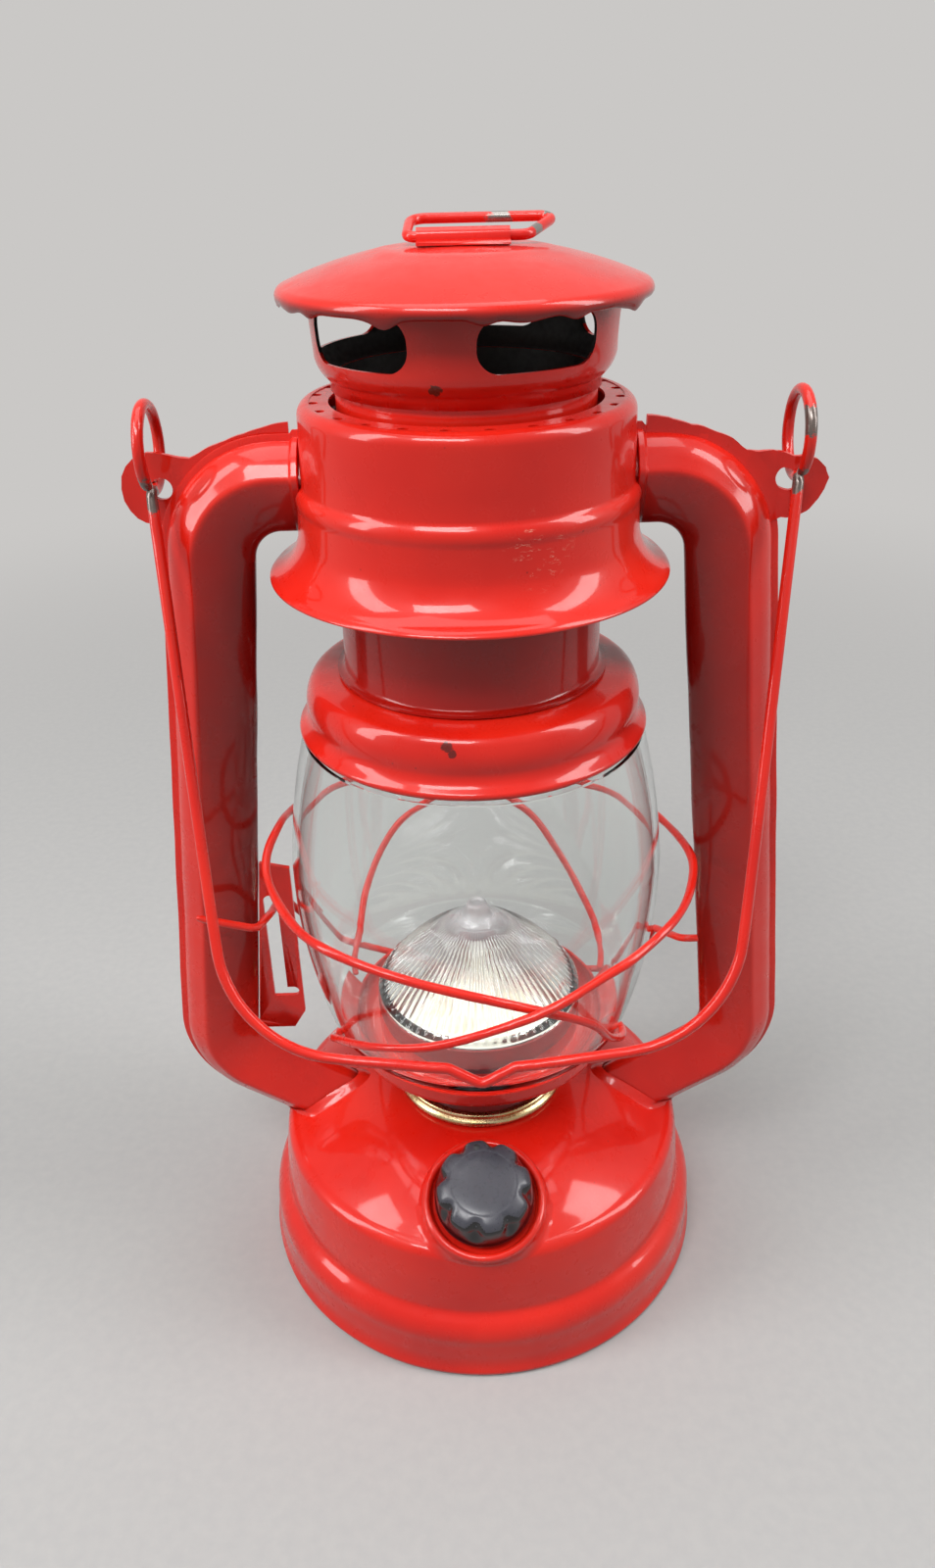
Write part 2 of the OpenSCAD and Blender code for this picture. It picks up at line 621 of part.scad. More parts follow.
// Slotted bracket on the left tube, with an L slot that locks the lever down
slot_w = lever_wire + 1.6;
slot_top = slot_lever_z + slot_w;
slot_foot = slot_lever_z - globe_drop * 2.4;
bracket_in = tube_w * 0.3;
bracket_top = slot_top + slot_w * 3.3;
bracket_foot = slot_foot - slot_w * 3.5;
module lever_bracket() color(red) difference() {
    rotate([90, 0, 0]) linear_extrude(flange_t, center = true) difference() {
        polygon([[-slot_x - tube_w * 0.76, bracket_top - slot_w], [-slot_x - slot_w * 0.6, bracket_top],
                 [-slot_x + bracket_in, bracket_top - slot_w / 2],
                 [-slot_x + bracket_in, bracket_foot + slot_w * 1.5],
                 [-slot_x + bracket_in * 0.45, bracket_foot], [-slot_x - tube_w * 1.1, bracket_foot]]);
        translate([-slot_x - slot_w / 2, slot_foot]) square([slot_w, slot_top - slot_foot]);
        translate([-slot_x, slot_top]) circle(d = slot_w, $fn = 32);
        translate([-slot_x - slot_w / 2, slot_foot - slot_w / 2]) square([slot_w * 1.44, slot_w * 0.8]);
        translate([-slot_x + slot_w * 0.94, slot_foot - slot_w * 0.1]) circle(d = slot_w * 0.8, $fn = 32);
    }
    mirror([1, 0, 0]) tube_solid(-seat_gap);
}

// Drum
drum_r = drum_top_d / 2;
drum_low_r = drum_low_d / 2;
skirt_r = skirt_d / 2;
skirt_top = skirt_z + skirt_h;
step = (drum_low_r - drum_r) / 2;
drum_line = concat(
    [[skirt_r, skirt_z]],
    bow([skirt_r - step * 0.4, skirt_z + step], [drum_low_r, skirt_top], -skirt_h * 1.25, 8),
    [[drum_low_r - step * 0.6, drum_step_z - step * 1.4]],
    bow([drum_low_r - step / 2, drum_step_z - step], [drum_r + step / 2, drum_step_z + step], step * 1.9, 4),
    bow([drum_r, drum_top_z - drum_lip * 0.9], [drum_r - drum_lip * 0.75, drum_top_z], drum_lip, 5),
    [[drum_r - drum_lip, drum_top_z]]);
module drum_envelope(grow = 0) rotate_extrude($fn = 96)
    polygon(concat([[0, skirt_z]], shifted(drum_line, -grow), [[0, drum_top_z + grow]]));
chimney_r = chimney_d / 2;
inner_tube_r = inner_tube_d / 2;
floor_z = skirt_z + skirt_h * 0.55;
module drum_shell() color(red) rotate_extrude($fn = 96) {
    polygon(band(drum_line, sheet));
    translate([chimney_r + run_gap, floor_z]) square([drum_low_r - chimney_r + 0.2, sheet]);
}
plate_z = drum_top_z - 2 * sheet - seat_gap;
plate_hole_r = inner_tube_r + plate_gap;
module drum_top_plate() color(deep_red) difference() {
    ring(plate_hole_r, drum_r - drum_lip + 0.3, plate_z, sheet);
    for (k = [1:vent_holes]) rotate(360 * k / vent_holes)
        translate([(plate_hole_r + drum_r - drum_lip) / 2 + 0.3, 0, plate_z - 1])
            cylinder(d = vent_d, h = 4, $fn = 24);
}

// Hood spring between the chimney's seat and the drum's top plate
spring_wire = 1.3;
spring_r = chimney_r + spring_seat - spring_wire / 2 - 0.3;
spring_z = spring_seat_z + sheet + seat_gap;
spring_h = plate_z - seat_gap - spring_z;
spring_turns = 5;
spring_per_turn = 16;
module hood_spring() color("silver") translate([0, 0, spring_z])
    coil(spring_r, spring_wire, spring_h, spring_turns, spring_per_turn);
echo(hood_spring_gap = coil_gap(coil_points(spring_r, spring_wire, spring_h, spring_turns,
    spring_per_turn), spring_per_turn, spring_wire));
echo(contact_spring_gap = coil_gap(coil_points(contact_r, contact_wire, contact_len - seat_gap,
    contact_turns, 8), 8, contact_wire));

// Hood
globe_top_r = globe_top_d / 2;
collar_r = globe_top_r + collar_over;
collar_top = collar_z + collar_h;
flange_top = collar_top + seat_gap + sheet;
crown_r = crown_d / 2;
cap_r = cap_d / 2;
cap_top = cap_z + cap_rim + cap_rise;
cap_flat_r = cap_flat_d / 2;
module globe_collar() color(red) turned(concat(
    [[collar_r - 0.5, collar_z], [collar_r, collar_z + 0.7], [collar_r, collar_z + 1.7]],
    [[collar_r - 1.3, collar_z + 3.1]],
    bow([collar_r - 1.9, collar_z + 4.6], [collar_r - 2.3, collar_top - 3.2], 9, 5),
    bow([collar_r - 2.8, collar_top - 2.4], [collar_r - 5.2, collar_top - 0.7], 2.8, 4),
    [[chimney_r + seat_gap, collar_top]]));
module chimney_tube() color(red) {
    turned(concat(
        [[chimney_r + 1.6, flange_top], [chimney_r + 0.7, flange_top]],
        [[chimney_r, flange_top + 0.9], [chimney_r, spring_seat_z + 2.2]],
        [[inner_tube_r, spring_seat_z + 4.6], [inner_tube_r, crown_z + 2.4]]));
    ring(chimney_r - sheet / 2, chimney_r + spring_seat, spring_seat_z, sheet);
}
cap_edge = [cap_r - 0.9, cap_z + cap_rim];
function cap_under(r) = cap_edge.y + (cap_edge.x - r) / (cap_edge.x - cap_flat_r) * cap_rise - sheet;
crown_low_r = inner_tube_r + seat_gap + sheet;
crown_line = concat(
    [[crown_low_r, crown_z]],
    bow([crown_low_r, crown_z + 1.8], [crown_r - 0.6, crown_z + 6], 6.5, 6),
    [[crown_r, cap_z - 1], [crown_r, cap_under(crown_r) - seat_gap - 0.2]]);
module window_cut() rotate([90, 0, 0]) linear_extrude(crown_d) {
    w = 2 * crown_r * sin(window_angle / 2);
    c = window_h * 0.44;
    translate([-w / 2 + c, 0]) square([w - 2 * c, window_h]);
    translate([-w / 2, c]) square([w, window_h - 2 * c]);
    for (x = [-w / 2 + c, w / 2 - c]) for (z = [c, window_h - c]) translate([x, z]) circle(r = c, $fn = 32);
}
module vent_crown() color(red) difference() {
    turned(crown_line);
    for (k = [1:windows]) rotate(crown_turn + 360 * (k - 0.5) / windows)
        translate([0, 0, crown_z + window_z]) window_cut();
}
cap_line = concat(
    [[cap_r - 0.4, cap_z], [cap_r, cap_z + 0.8]],
    bow([cap_r, cap_z + cap_rim - 1.4], cap_edge, 1.8, 4),
    bow([cap_r - 1.6, cap_edge.y + 0.25], [cap_flat_r, cap_top], 120, 6),
    [[0, cap_top + 0.2]]);
module cap() color(red) turned(cap_line);

// Lift ring in a folded strap on the cap
ring_r = ring_wire / 2;
tunnel_r = ring_r + 0.2;
strap_t = 0.6;
strap_z = cap_top + 0.2 + seat_gap;
ring_axis_z = strap_z + tunnel_r + 0.1;
strap_line = concat([[-5, strap_z], [-tunnel_r, strap_z]],
    bow([-tunnel_r, ring_axis_z], [tunnel_r, ring_axis_z], -tunnel_r, 12),
    [[tunnel_r, strap_z], [5, strap_z]]);
module ring_strap() color(red) translate([-strap_len / 2, 0, 0]) rotate([90, 0, 90])
    linear_extrude(strap_len) polygon(concat(strap_line, flipped(shifted(strap_line, strap_t))));
ring_left = strap_len / 2 + ring_wire * 0.8;
ring_right = strap_len / 2 + ring_wire * 1.9;
module lift_ring() color(red) translate([0, 0, ring_axis_z]) rotate([ring_lean, 0, 0])
    tube_along(bent([[-ring_left, 0, 0], [-ring_left, ring_reach, 0], [ring_len - ring_left, ring_reach, 0],
        [ring_right, 0, 0]], ring_wire * 0.7, 4, true), ring_wire, 8, [0, 0, 1], true);

// Globe and its dish
globe_r = globe_d / 2;
globe_z = dish_z + sheet + seat_gap;
globe_foot_r = globe_foot_d / 2;
dish_r = dish_d / 2;
globe_low_z = dish_z + 10;
globe_top_z = collar_z - 1;
globe_neck_r = collar_r - sheet - 2 * run_gap;
module globe_glass() color([0.85, 0.9, 0.9, 0.35]) turned(concat(
    [[globe_foot_r - 2.5, globe_z]],
    bow([globe_foot_r, globe_z], [dish_r - sheet - run_gap - 0.4, dish_z + dish_h], 9, 4),
    bow([globe_low_d / 2, globe_low_z], [globe_r, globe_mid_z], 134, 8),
    bow([globe_r - 0.05, globe_mid_z + 4], [globe_top_r, globe_top_z], 165, 8),
    bow([globe_neck_r, globe_top_z + 0.8], [globe_neck_r - 4, globe_top_z + 6], 8, 5),
    [[globe_neck_r - 4.6, globe_top_z + 8]]), glass_t);
tab_angle = 30;
dish_top = dish_z + dish_h;
module globe_plate() color(red) {
    turned(concat(
        [[dish_hole_d / 2, dish_z]],
        bow([dish_r - 2, dish_z], [dish_r, dish_z + 2], 2, 5),
        [[dish_r, dish_z + dish_h]]));
    for (turn = [0, 180]) rotate(turn - tab_angle / 2) rotate_extrude(angle = tab_angle)
        polygon([[dish_r - sheet / 2, dish_top - 0.9], [dish_r + 4, dish_top + 2.9],
                 [dish_r + 3.5, dish_top + 3.5], [dish_r - sheet / 2, dish_top - 0.2]]);
}
// Guard wires, by turn from +X, distance from the glass in wire thicknesses, and share of the way
// up from the dish to the collar. Each starts and ends at a tab and rises round the globe.
guard_left = [[-17, 1.2, 0.07], [-22.5, 1.25, 0.095], [-33, 1.45, 0.135], [-47, 2.4, 0.23],
              [-58.5, 3.05, 0.355], [-79, 2.3, 0.47], [-105, 2.05, 0.545], [-126, 3.45, 0.585],
              [-143, 3.75, 0.59], [-162, 3.75, 0.61], [-171, 3.75, 0.65], [-180, 2.25, 0.69],
              [-191, 2.05, 0.665], [-202, 1.85, 0.645], [-214, 1.8, 0.64], [-238, 1.25, 0.61],
              [-264, 1.35, 0.54], [-288, 2, 0.44], [-300.5, 2.9, 0.32], [-311, 3.45, 0.21],
              [-325, 2.05, 0.135], [-336, 1.25, 0.095], [-343, 1.2, 0.07]];
guard_right = [[-163, 1.2, 0.07], [-157.5, 1.25, 0.095], [-150, 1.5, 0.14], [-139, 3.3, 0.225],
               [-120.5, 4.8, 0.32], [-103.5, 4.55, 0.37], [-89, 4.25, 0.425], [-72.5, 4, 0.475],
               [-57, 4.05, 0.53], [-47, 4.4, 0.55], [-29, 5, 0.575], [-11, 4.85, 0.585], [0, 4, 0.595],
               [18, 3.35, 0.575], [29, 3.4, 0.565], [41, 3.4, 0.565], [65, 3, 0.545], [87.5, 2.95, 0.51],
               [112, 3.65, 0.425], [124, 4, 0.335], [134, 4.45, 0.205], [144, 2.05, 0.135],
               [156, 1.25, 0.095], [163, 1.2, 0.07]];
function glass_r(z) = lookup(z, [[dish_top, dish_r - sheet - run_gap - 0.4], [globe_low_z, globe_low_d / 2],
    [globe_mid_z, globe_r], [globe_mid_z + 4, globe_r], [globe_top_z, globe_top_r]]);
function round_globe(route) = [for (p = route)
    let (z = dish_z + p[2] * (collar_z - dish_z), r = glass_r(z) + p[1] * guard_d)
    [r * cos(p[0]), r * sin(p[0]), z]];
module guard_wire_left() color(red) tube_along(curve(round_globe(guard_left), 3), guard_d);
module guard_wire_right() color(red) tube_along(curve(round_globe(guard_right), 3), guard_d);

// Lever under the dish, from its pivot in the right tube to the thumb end before the left tube
lever_route = [[pivot_x + 3, 0, pivot_z], [pivot_x - 6, 0, pivot_z], [46, 12, 82], [40, 24, 58],
               [22, 28, 56.8], [-4, 28, dish_z - 1.9], [-22, 28, dish_z - 1.4], [-40, 26, 70],
               [-slot_x + 1, 10, slot_lever_z - 2], [-slot_x, 0, slot_lever_z],
               [-slot_x - 1.6, -11.5, slot_lever_z + 3.4], [-slot_x - 15, -13, slot_lever_z + 8]];
lever_bend = 3;
module lift_lever() color(red) tube_along(bent(lever_route, lever_bend), lever_wire);

// Bail: one wire with an eye at each ear, straight legs, round corners and a notched hand grip
grip_rise = 5;
eye_open = 15;
grip_points = [[-11, 0, -bail_len + 0.3], [-7, 0, -bail_len], [0, 0, -bail_len - notch], [7, 0, -bail_len],
               [11, 0, -bail_len + 0.3]];
function eye_points(x) = [for (a = [-eye_open:-15:eye_open - 360]) [-x, eye_r * sin(a), -eye_r * cos(a)]];
function leg_points(x) =
    let (top = [-x, 0, -eye_r], corner = [-bail_half, 0, -bail_len + grip_rise], eye = eye_points(x))
    concat(eye,
        bent([eye[len(eye) - 1], top, top + 6 * unit(corner - top)], 1.7, 4),
        bent([top + 9 * unit(corner - top), corner, [-12, 0, -bail_len + 0.4]], bail_bend, 9));
function swapped(line) = [for (i = [len(line) - 1:-1:0]) [-line[i].x, line[i].y, line[i].z]];
bail_route = concat(leg_points(eye_x), bent(grip_points, 2.6, 3), swapped(leg_points(eye_x + eye_shift)));
bail_points = [for (i = [0:len(bail_route) - 1]) if (i == 0 || norm(bail_route[i] - bail_route[i - 1]) > 0.3)
    bail_route[i]];
module bail() color(red) translate([0, 0, eye_z]) rotate([-bail_lean, 0, 0])
    tube_along(bail_points, bail_wire);

base_shell();
bottom_cover();
battery_tray();
battery_left();
battery_right();
contact_springs();
contact_plates();
dimmer_body();
dimmer_nut();
lamp_leads();
neck_ring();
lamp_post();
led_board();
led_emitters();
lens_cone();
side_tube_left();
side_tube_right();
lever_bracket();
drum_shell();
drum_top_plate();
hood_spring();
globe_plate();
globe_glass();
guard_wire_left();
guard_wire_right();
globe_collar();
chimney_tube();
vent_crown();
cap();
ring_strap();
lift_ring();
bail();
lift_lever();
knob();
dimmer_shaft();
battery_door();
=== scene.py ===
"""Looks of a red enamelled hurricane lantern with an electric lamp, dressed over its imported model."""
import json
import math

import bmesh
import bpy
from mathutils import Matrix, Vector, noise
from mathutils.bvhtree import BVHTree


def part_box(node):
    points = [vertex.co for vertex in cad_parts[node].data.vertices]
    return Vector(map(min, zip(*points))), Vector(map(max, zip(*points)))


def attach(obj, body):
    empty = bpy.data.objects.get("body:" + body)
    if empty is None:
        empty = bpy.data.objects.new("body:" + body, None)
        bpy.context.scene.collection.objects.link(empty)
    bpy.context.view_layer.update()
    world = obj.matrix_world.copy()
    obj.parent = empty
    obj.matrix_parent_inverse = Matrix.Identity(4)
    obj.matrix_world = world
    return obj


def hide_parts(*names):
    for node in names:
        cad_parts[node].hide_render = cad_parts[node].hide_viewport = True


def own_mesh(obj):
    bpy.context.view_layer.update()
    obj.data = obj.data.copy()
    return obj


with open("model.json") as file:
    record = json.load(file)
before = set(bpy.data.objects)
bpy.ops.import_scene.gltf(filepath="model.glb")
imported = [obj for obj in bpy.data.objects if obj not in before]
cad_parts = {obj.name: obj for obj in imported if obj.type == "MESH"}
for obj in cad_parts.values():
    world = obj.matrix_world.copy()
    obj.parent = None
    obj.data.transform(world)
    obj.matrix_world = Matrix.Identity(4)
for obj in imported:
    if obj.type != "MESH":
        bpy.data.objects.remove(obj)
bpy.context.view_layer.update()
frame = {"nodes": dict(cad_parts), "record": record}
nodes = frame["nodes"]
node_slot = {s["node"]: s["material_slot"] for s in frame["record"]["subparts"]}
node_body = {n: b for b, ns in frame["record"]["behaviour"]["bodies"].items() for n in ns}
scene = bpy.context.scene
MM = 0.001
# Tone of the background, which the floor fades into
BACKGROUND = "#cac8c6"
# Ribs round the lamp's lens
LENS_RIBS = 72
# Pressed steel sheet in mm: the hood and drum, and the thicker base and cap
THIN_SHEET, THICK_SHEET = 0.6, 0.7


# Material helpers

def linear(colour):
    """An sRGB hex colour as linear RGBA."""
    parts = [int(colour[i:i + 2], 16) / 255 for i in (1, 3, 5)]
    return [c / 12.92 if c <= 0.04045 else ((c + 0.055) / 1.055) ** 2.4 for c in parts] + [1.0]


def add(tree, kind, inputs=None, stops=(), **settings):
    """Adds a node with its settings, colour stops and links. A node or socket given as an input is
    linked."""
    made = tree.nodes.new(kind)
    for key, value in settings.items():
        setattr(made, key, value)
    for i, (place, colour) in enumerate(stops):
        elements = made.color_ramp.elements
        element = elements[i] if i < len(elements) else elements.new(place)
        element.position = place
        element.color = linear(colour) if isinstance(colour, str) else [colour] * 3 + [1.0]
    for key, value in (inputs or {}).items():
        if isinstance(value, bpy.types.Node):
            value = value.outputs[0]
        if isinstance(value, bpy.types.NodeSocket):
            tree.links.new(value, made.inputs[key])
        else:
            made.inputs[key].default_value = value
    return made


def new_finish(name):
    """An empty material, its tree and its Object coordinates."""
    made = bpy.data.materials.new(name)
    made.use_nodes = True
    tree = made.node_tree
    tree.nodes.clear()
    return made, tree, add(tree, "ShaderNodeTexCoord").outputs["Object"]


# Finishes

def red_enamel(name, rubbed=(), under="#8f8a85", metal=0.9, shade_colour=None, scratched=None):
    """Sprayed and baked gloss enamel on pressed steel: orange-red with slow changes of tone, a wet coat with
    the ripple of a thick spray, and dust specks. Rubbed lists places in mm, with a radius, worn through to
    what is under. The shade colour, if given, is painted shade, laid where the piece's own attribute asks
    for it. Scratched is a place in mm, with a radius, that short hairlines cross."""
    made, tree, place = new_finish(name)

    def close_to(spot, radius, full):
        """0 outside a radius round a spot in mm, rising to 1 at a share of that radius."""
        gap = add(tree, "ShaderNodeVectorMath", {0: place, 1: [c * MM for c in spot]}, operation="DISTANCE")
        return add(tree, "ShaderNodeMapRange", {"Value": gap.outputs["Value"], "From Min": radius * MM,
                                                "From Max": full * radius * MM})

    tone = add(tree, "ShaderNodeTexNoise", {"Vector": place, "Scale": 1 / (34 * MM), "Detail": 3.0})
    colour = add(tree, "ShaderNodeValToRGB", {"Fac": tone},
                 stops=[(0.3, "#d0180d"), (0.52, "#df2012"), (0.74, "#e72918")]).outputs[0]
    if shade_colour:
        # Painted shade: the red darkens to the shade colour where the piece's attribute says
        coat = add(tree, "ShaderNodeAttribute", attribute_name="painted_shade_share")
        colour = add(tree, "ShaderNodeMix", {0: coat.outputs["Fac"], 6: colour, 7: linear(shade_colour)},
                     data_type="RGBA").outputs[2]
    # Dust specks in the paint, one in each 8 mm cell, about 0.5 mm across
    specks = add(tree, "ShaderNodeTexVoronoi", {"Vector": place, "Scale": 1 / (8 * MM)})
    speck = add(tree, "ShaderNodeMapRange", {"Value": specks, "From Min": 0.036, "From Max": 0.016})
    colour = add(tree, "ShaderNodeMix", {0: speck, 6: colour, 7: linear("#b01a10")},
                 data_type="RGBA").outputs[2]
    smears = add(tree, "ShaderNodeTexNoise", {"Vector": place, "Scale": 1 / (6 * MM), "Detail": 4.0,
                                              "Roughness": 0.6})
    dull = add(tree, "ShaderNodeValToRGB", {"Fac": smears}, stops=[(0.42, 0.27), (0.72, 0.46)])
    # Ripple of the spray about 5 mm across, over the slow waves of the pressed sheet
    ripple = add(tree, "ShaderNodeTexNoise", {"Vector": place, "Scale": 1 / (5 * MM), "Detail": 2.0})
    waves = add(tree, "ShaderNodeTexNoise", {"Vector": place, "Scale": 1 / (19 * MM), "Detail": 1.0})
    sheet = add(tree, "ShaderNodeBump", {"Height": waves, "Strength": 0.12, "Distance": 1.2 * MM})
    skin = add(tree, "ShaderNodeBump", {"Height": ripple, "Normal": sheet, "Strength": 0.08,
                                        "Distance": 0.4 * MM})
    if scratched:
        # Hairlines follow one level of a noise that is drawn out sideways
        drawn = add(tree, "ShaderNodeVectorMath", {0: place, 1: (1.0, 1.0, 3.5)}, operation="MULTIPLY")
        curl = add(tree, "ShaderNodeTexNoise", {"Vector": drawn, "Scale": 1 / (5 * MM), "Detail": 4.0,
                                                "Roughness": 0.6})
        off = add(tree, "ShaderNodeMath", {0: curl, 1: 0.5}, operation="SUBTRACT")
        size = add(tree, "ShaderNodeMath", {0: off}, operation="ABSOLUTE")
        whole = add(tree, "ShaderNodeMapRange", {"Value": size, "From Min": 0.012, "From Max": 0.004})
        # Each line breaks off after 2 mm or so
        breaks = add(tree, "ShaderNodeTexNoise", {"Vector": place, "Scale": 1 / (2 * MM), "Detail": 1.0})
        kept = add(tree, "ShaderNodeMapRange", {"Value": breaks, "From Min": 0.5, "From Max": 0.6})
        hairline = add(tree, "ShaderNodeMath", {0: whole, 1: kept}, operation="MULTIPLY")
        line = add(tree, "ShaderNodeMath", {0: hairline, 1: close_to(*scratched, 0.5)}, operation="MULTIPLY")
        colour = add(tree, "ShaderNodeMix", {0: line, 6: colour, 7: linear("#ea8a76")},
                     data_type="RGBA").outputs[2]
    shine = 0.0
    if rubbed:
        bare = 0.0
        for spot, radius in rubbed:
            near = close_to(spot, radius, 0.15)
            bare = add(tree, "ShaderNodeMath", {0: bare, 1: near}, operation="MAXIMUM")
        # Flakes about 1.6 mm across break the edge of each rubbed place
        flakes = add(tree, "ShaderNodeTexNoise", {"Vector": place, "Scale": 1 / (1.6 * MM), "Detail": 5.0,
                                                  "Roughness": 0.65})
        broken = add(tree, "ShaderNodeMath", {0: flakes, 1: bare}, operation="ADD")
        gone = add(tree, "ShaderNodeMapRange", {"Value": broken, "From Min": 1.04, "From Max": 1.12})
        colour = add(tree, "ShaderNodeMix", {0: gone, 6: colour, 7: linear(under)},
                     data_type="RGBA").outputs[2]
        if metal:
            shine = add(tree, "ShaderNodeMath", {0: gone, 1: metal}, operation="MULTIPLY")
    shader = add(tree, "ShaderNodeBsdfPrincipled", {
        "Base Color": colour, "Metallic": shine, "Roughness": dull, "Normal": skin, "IOR": 1.5,
        "Specular IOR Level": 0.2, "Coat Weight": 0.6, "Coat Roughness": 0.07, "Coat IOR": 1.5})
    add(tree, "ShaderNodeOutputMaterial", {"Surface": shader})
    return made


def lit_through(tree, body, tint):
    """Ends a clear finish: the eye sees its body, and the lamps shine through a plain tint."""
    path = add(tree, "ShaderNodeLightPath")
    clear = add(tree, "ShaderNodeBsdfTransparent", {"Color": linear(tint)})
    both = add(tree, "ShaderNodeMixShader", {0: path.outputs["Is Shadow Ray"], 1: body, 2: clear})
    add(tree, "ShaderNodeOutputMaterial", {"Surface": both})


def blown_glass():
    """Blown lime glass: colourless, with the slow ripple of its mould and a little dust."""
    made, tree, place = new_finish("clear_blown_glass")
    wave = add(tree, "ShaderNodeTexNoise", {"Vector": place, "Scale": 1 / (26 * MM), "Detail": 1.0})
    smear = add(tree, "ShaderNodeTexNoise", {"Vector": place, "Scale": 1 / (12 * MM), "Detail": 4.0})
    dust = add(tree, "ShaderNodeValToRGB", {"Fac": smear}, stops=[(0.5, 0.0), (0.8, 0.07)])
    skin = add(tree, "ShaderNodeBump", {"Height": wave, "Strength": 0.1, "Distance": 0.8 * MM})
    body = add(tree, "ShaderNodeBsdfPrincipled", {
        "Base Color": linear("#fbfdfc"), "Roughness": dust, "Normal": skin, "IOR": 1.5,
        "Transmission Weight": 1.0})
    lit_through(tree, body, "#f2f5f3")
    return made


def lens_plastic(ribs):
    """Moulded clear polystyrene: glassy, clear and bright at its foot, painted a greyish lilac towards the
    tip as a painted reflection of what shows through it, with painted shade in the grooves of its ribs."""
    made, tree, place = new_finish("clear_polystyrene")
    cloud = add(tree, "ShaderNodeTexNoise", {"Vector": place, "Scale": 1 / (4 * MM), "Detail": 3.0})
    haze = add(tree, "ShaderNodeValToRGB", {"Fac": cloud}, stops=[(0.4, 0.02), (0.8, 0.1)])
    spot = add(tree, "ShaderNodeSeparateXYZ", {"Vector": place})
    height = add(tree, "ShaderNodeMapRange", {"Value": spot.outputs["Z"], "From Min": 80 * MM,
                                              "From Max": 92 * MM})
    # Painted reflection: the colour goes from clear white at the foot to greyish lilac higher up
    tint = add(tree, "ShaderNodeValToRGB", {"Fac": height}, stops=[(0.0, "#fdfcfb"), (1.0, "#e9e4e8")])
    turn = add(tree, "ShaderNodeMath", {0: spot.outputs["Y"], 1: spot.outputs["X"]}, operation="ARCTAN2")
    turns = add(tree, "ShaderNodeMath", {0: turn, 1: float(ribs)}, operation="MULTIPLY")
    wave = add(tree, "ShaderNodeMath", {0: turns}, operation="COSINE")
    groove = add(tree, "ShaderNodeMapRange", {"Value": wave, "From Min": -0.55, "From Max": -0.95})
    # Painted shade darkens the rib grooves, more so higher up
    rib_painted_shade = add(tree, "ShaderNodeMath", {0: groove, 1: height}, operation="MULTIPLY")
    lined = add(tree, "ShaderNodeMix", {0: rib_painted_shade, 6: tint, 7: linear("#aca6ad")}, data_type="RGBA")
    # The tip is frosted and milky where it was cut from its sprue
    frost = add(tree, "ShaderNodeMapRange", {"Value": spot.outputs["Z"], "From Min": 95 * MM,
                                             "From Max": 98 * MM, "To Max": 0.4})
    rough = add(tree, "ShaderNodeMath", {0: haze, 1: frost}, operation="ADD")
    milky = add(tree, "ShaderNodeMapRange", {"Value": spot.outputs["Z"], "From Min": 92 * MM,
                                             "From Max": 97 * MM, "To Min": 1.0, "To Max": 0.6})
    body = add(tree, "ShaderNodeBsdfPrincipled", {
        "Base Color": lined.outputs[2], "Roughness": rough, "IOR": 1.5, "Transmission Weight": milky})
    lit_through(tree, body, "#f8f7f4")
    return made


def plain_finish(name, colour, second, grain, rough, spread, bump, **sockets):
    """A moulded, plated or coated surface: two close tones, a mottled gloss and a fine grain. The grain's
    size in mm is as coarse as it needs to be to show."""
    made, tree, place = new_finish(name)
    cloud = add(tree, "ShaderNodeTexNoise", {"Vector": place, "Scale": 1 / (grain * 9 * MM), "Detail": 4.0})
    tone = add(tree, "ShaderNodeValToRGB", {"Fac": cloud}, stops=[(0.35, colour), (0.7, second)])
    grains = add(tree, "ShaderNodeTexNoise", {"Vector": place, "Scale": 1 / (grain * MM), "Detail": 3.0})
    gloss = add(tree, "ShaderNodeValToRGB", {"Fac": grains}, stops=[(0.35, rough), (0.75, rough + spread)])
    skin = add(tree, "ShaderNodeBump", {"Height": grains, "Strength": bump, "Distance": 0.1 * MM})
    shader = add(tree, "ShaderNodeBsdfPrincipled", {"Base Color": tone, "Roughness": gloss, "Normal": skin,
                                                    **sockets})
    add(tree, "ShaderNodeOutputMaterial", {"Surface": shader})
    return made


enamel = red_enamel("red_gloss_enamel")
# Rubbed bare on the far side and the right corners of the ring, where fingers lift it
ring_enamel = red_enamel("enamel_rubbed_on_lift_ring", [
    ((7, 12.4, 249.6), 5), ((13, 2.6, 247.6), 3.4), ((16.5, 11, 249.4), 2.6)])
# Rubbed to a brownish grey where the bail turns in its ears
bail_enamel = red_enamel("enamel_rubbed_on_bail", [
    ((-62.6, -5.5, 203), 8), ((65.2, -5.5, 203), 6), ((65.2, -7, 214), 6)], "#6e625c", 0.5)
# Painted shade on the inner sides and necks of the tubes: the red darkens to maroon there
tube_enamel = red_enamel("enamel_painted_shade_on_tubes", shade_colour="#7e0f08")
# Painted shade on the chimney under the drum's skirt, darker towards the bottom
chimney_enamel = red_enamel("enamel_painted_shade_on_chimney", shade_colour="#b0150b")
# Painted shade along the lower edge of the cap's rolled rim
cap_enamel = red_enamel("enamel_painted_shade_on_cap_rim", shade_colour="#8c110a")
# Scratched on the front of the drum, where the bail knocks it
drum_enamel = red_enamel("enamel_scratched_on_drum", scratched=((12.5, -32, 198.5), 8))
# Stained dark in one spot on the front of the collar
collar_enamel = red_enamel("enamel_stained_on_collar", [
    ((-5.5, -35.3, 161.2), 2.6), ((-4.4, -35.6, 159.6), 1.6)], "#6d150e", 0.0)
# Rusted in one spot on the front of the crown
crown_enamel = red_enamel("enamel_rusted_on_crown", [
    ((-5.4, -26.6, 225.6), 2.6), ((-4, -27.5, 228.5), 1.2)], "#5a2a1c", 0.0)
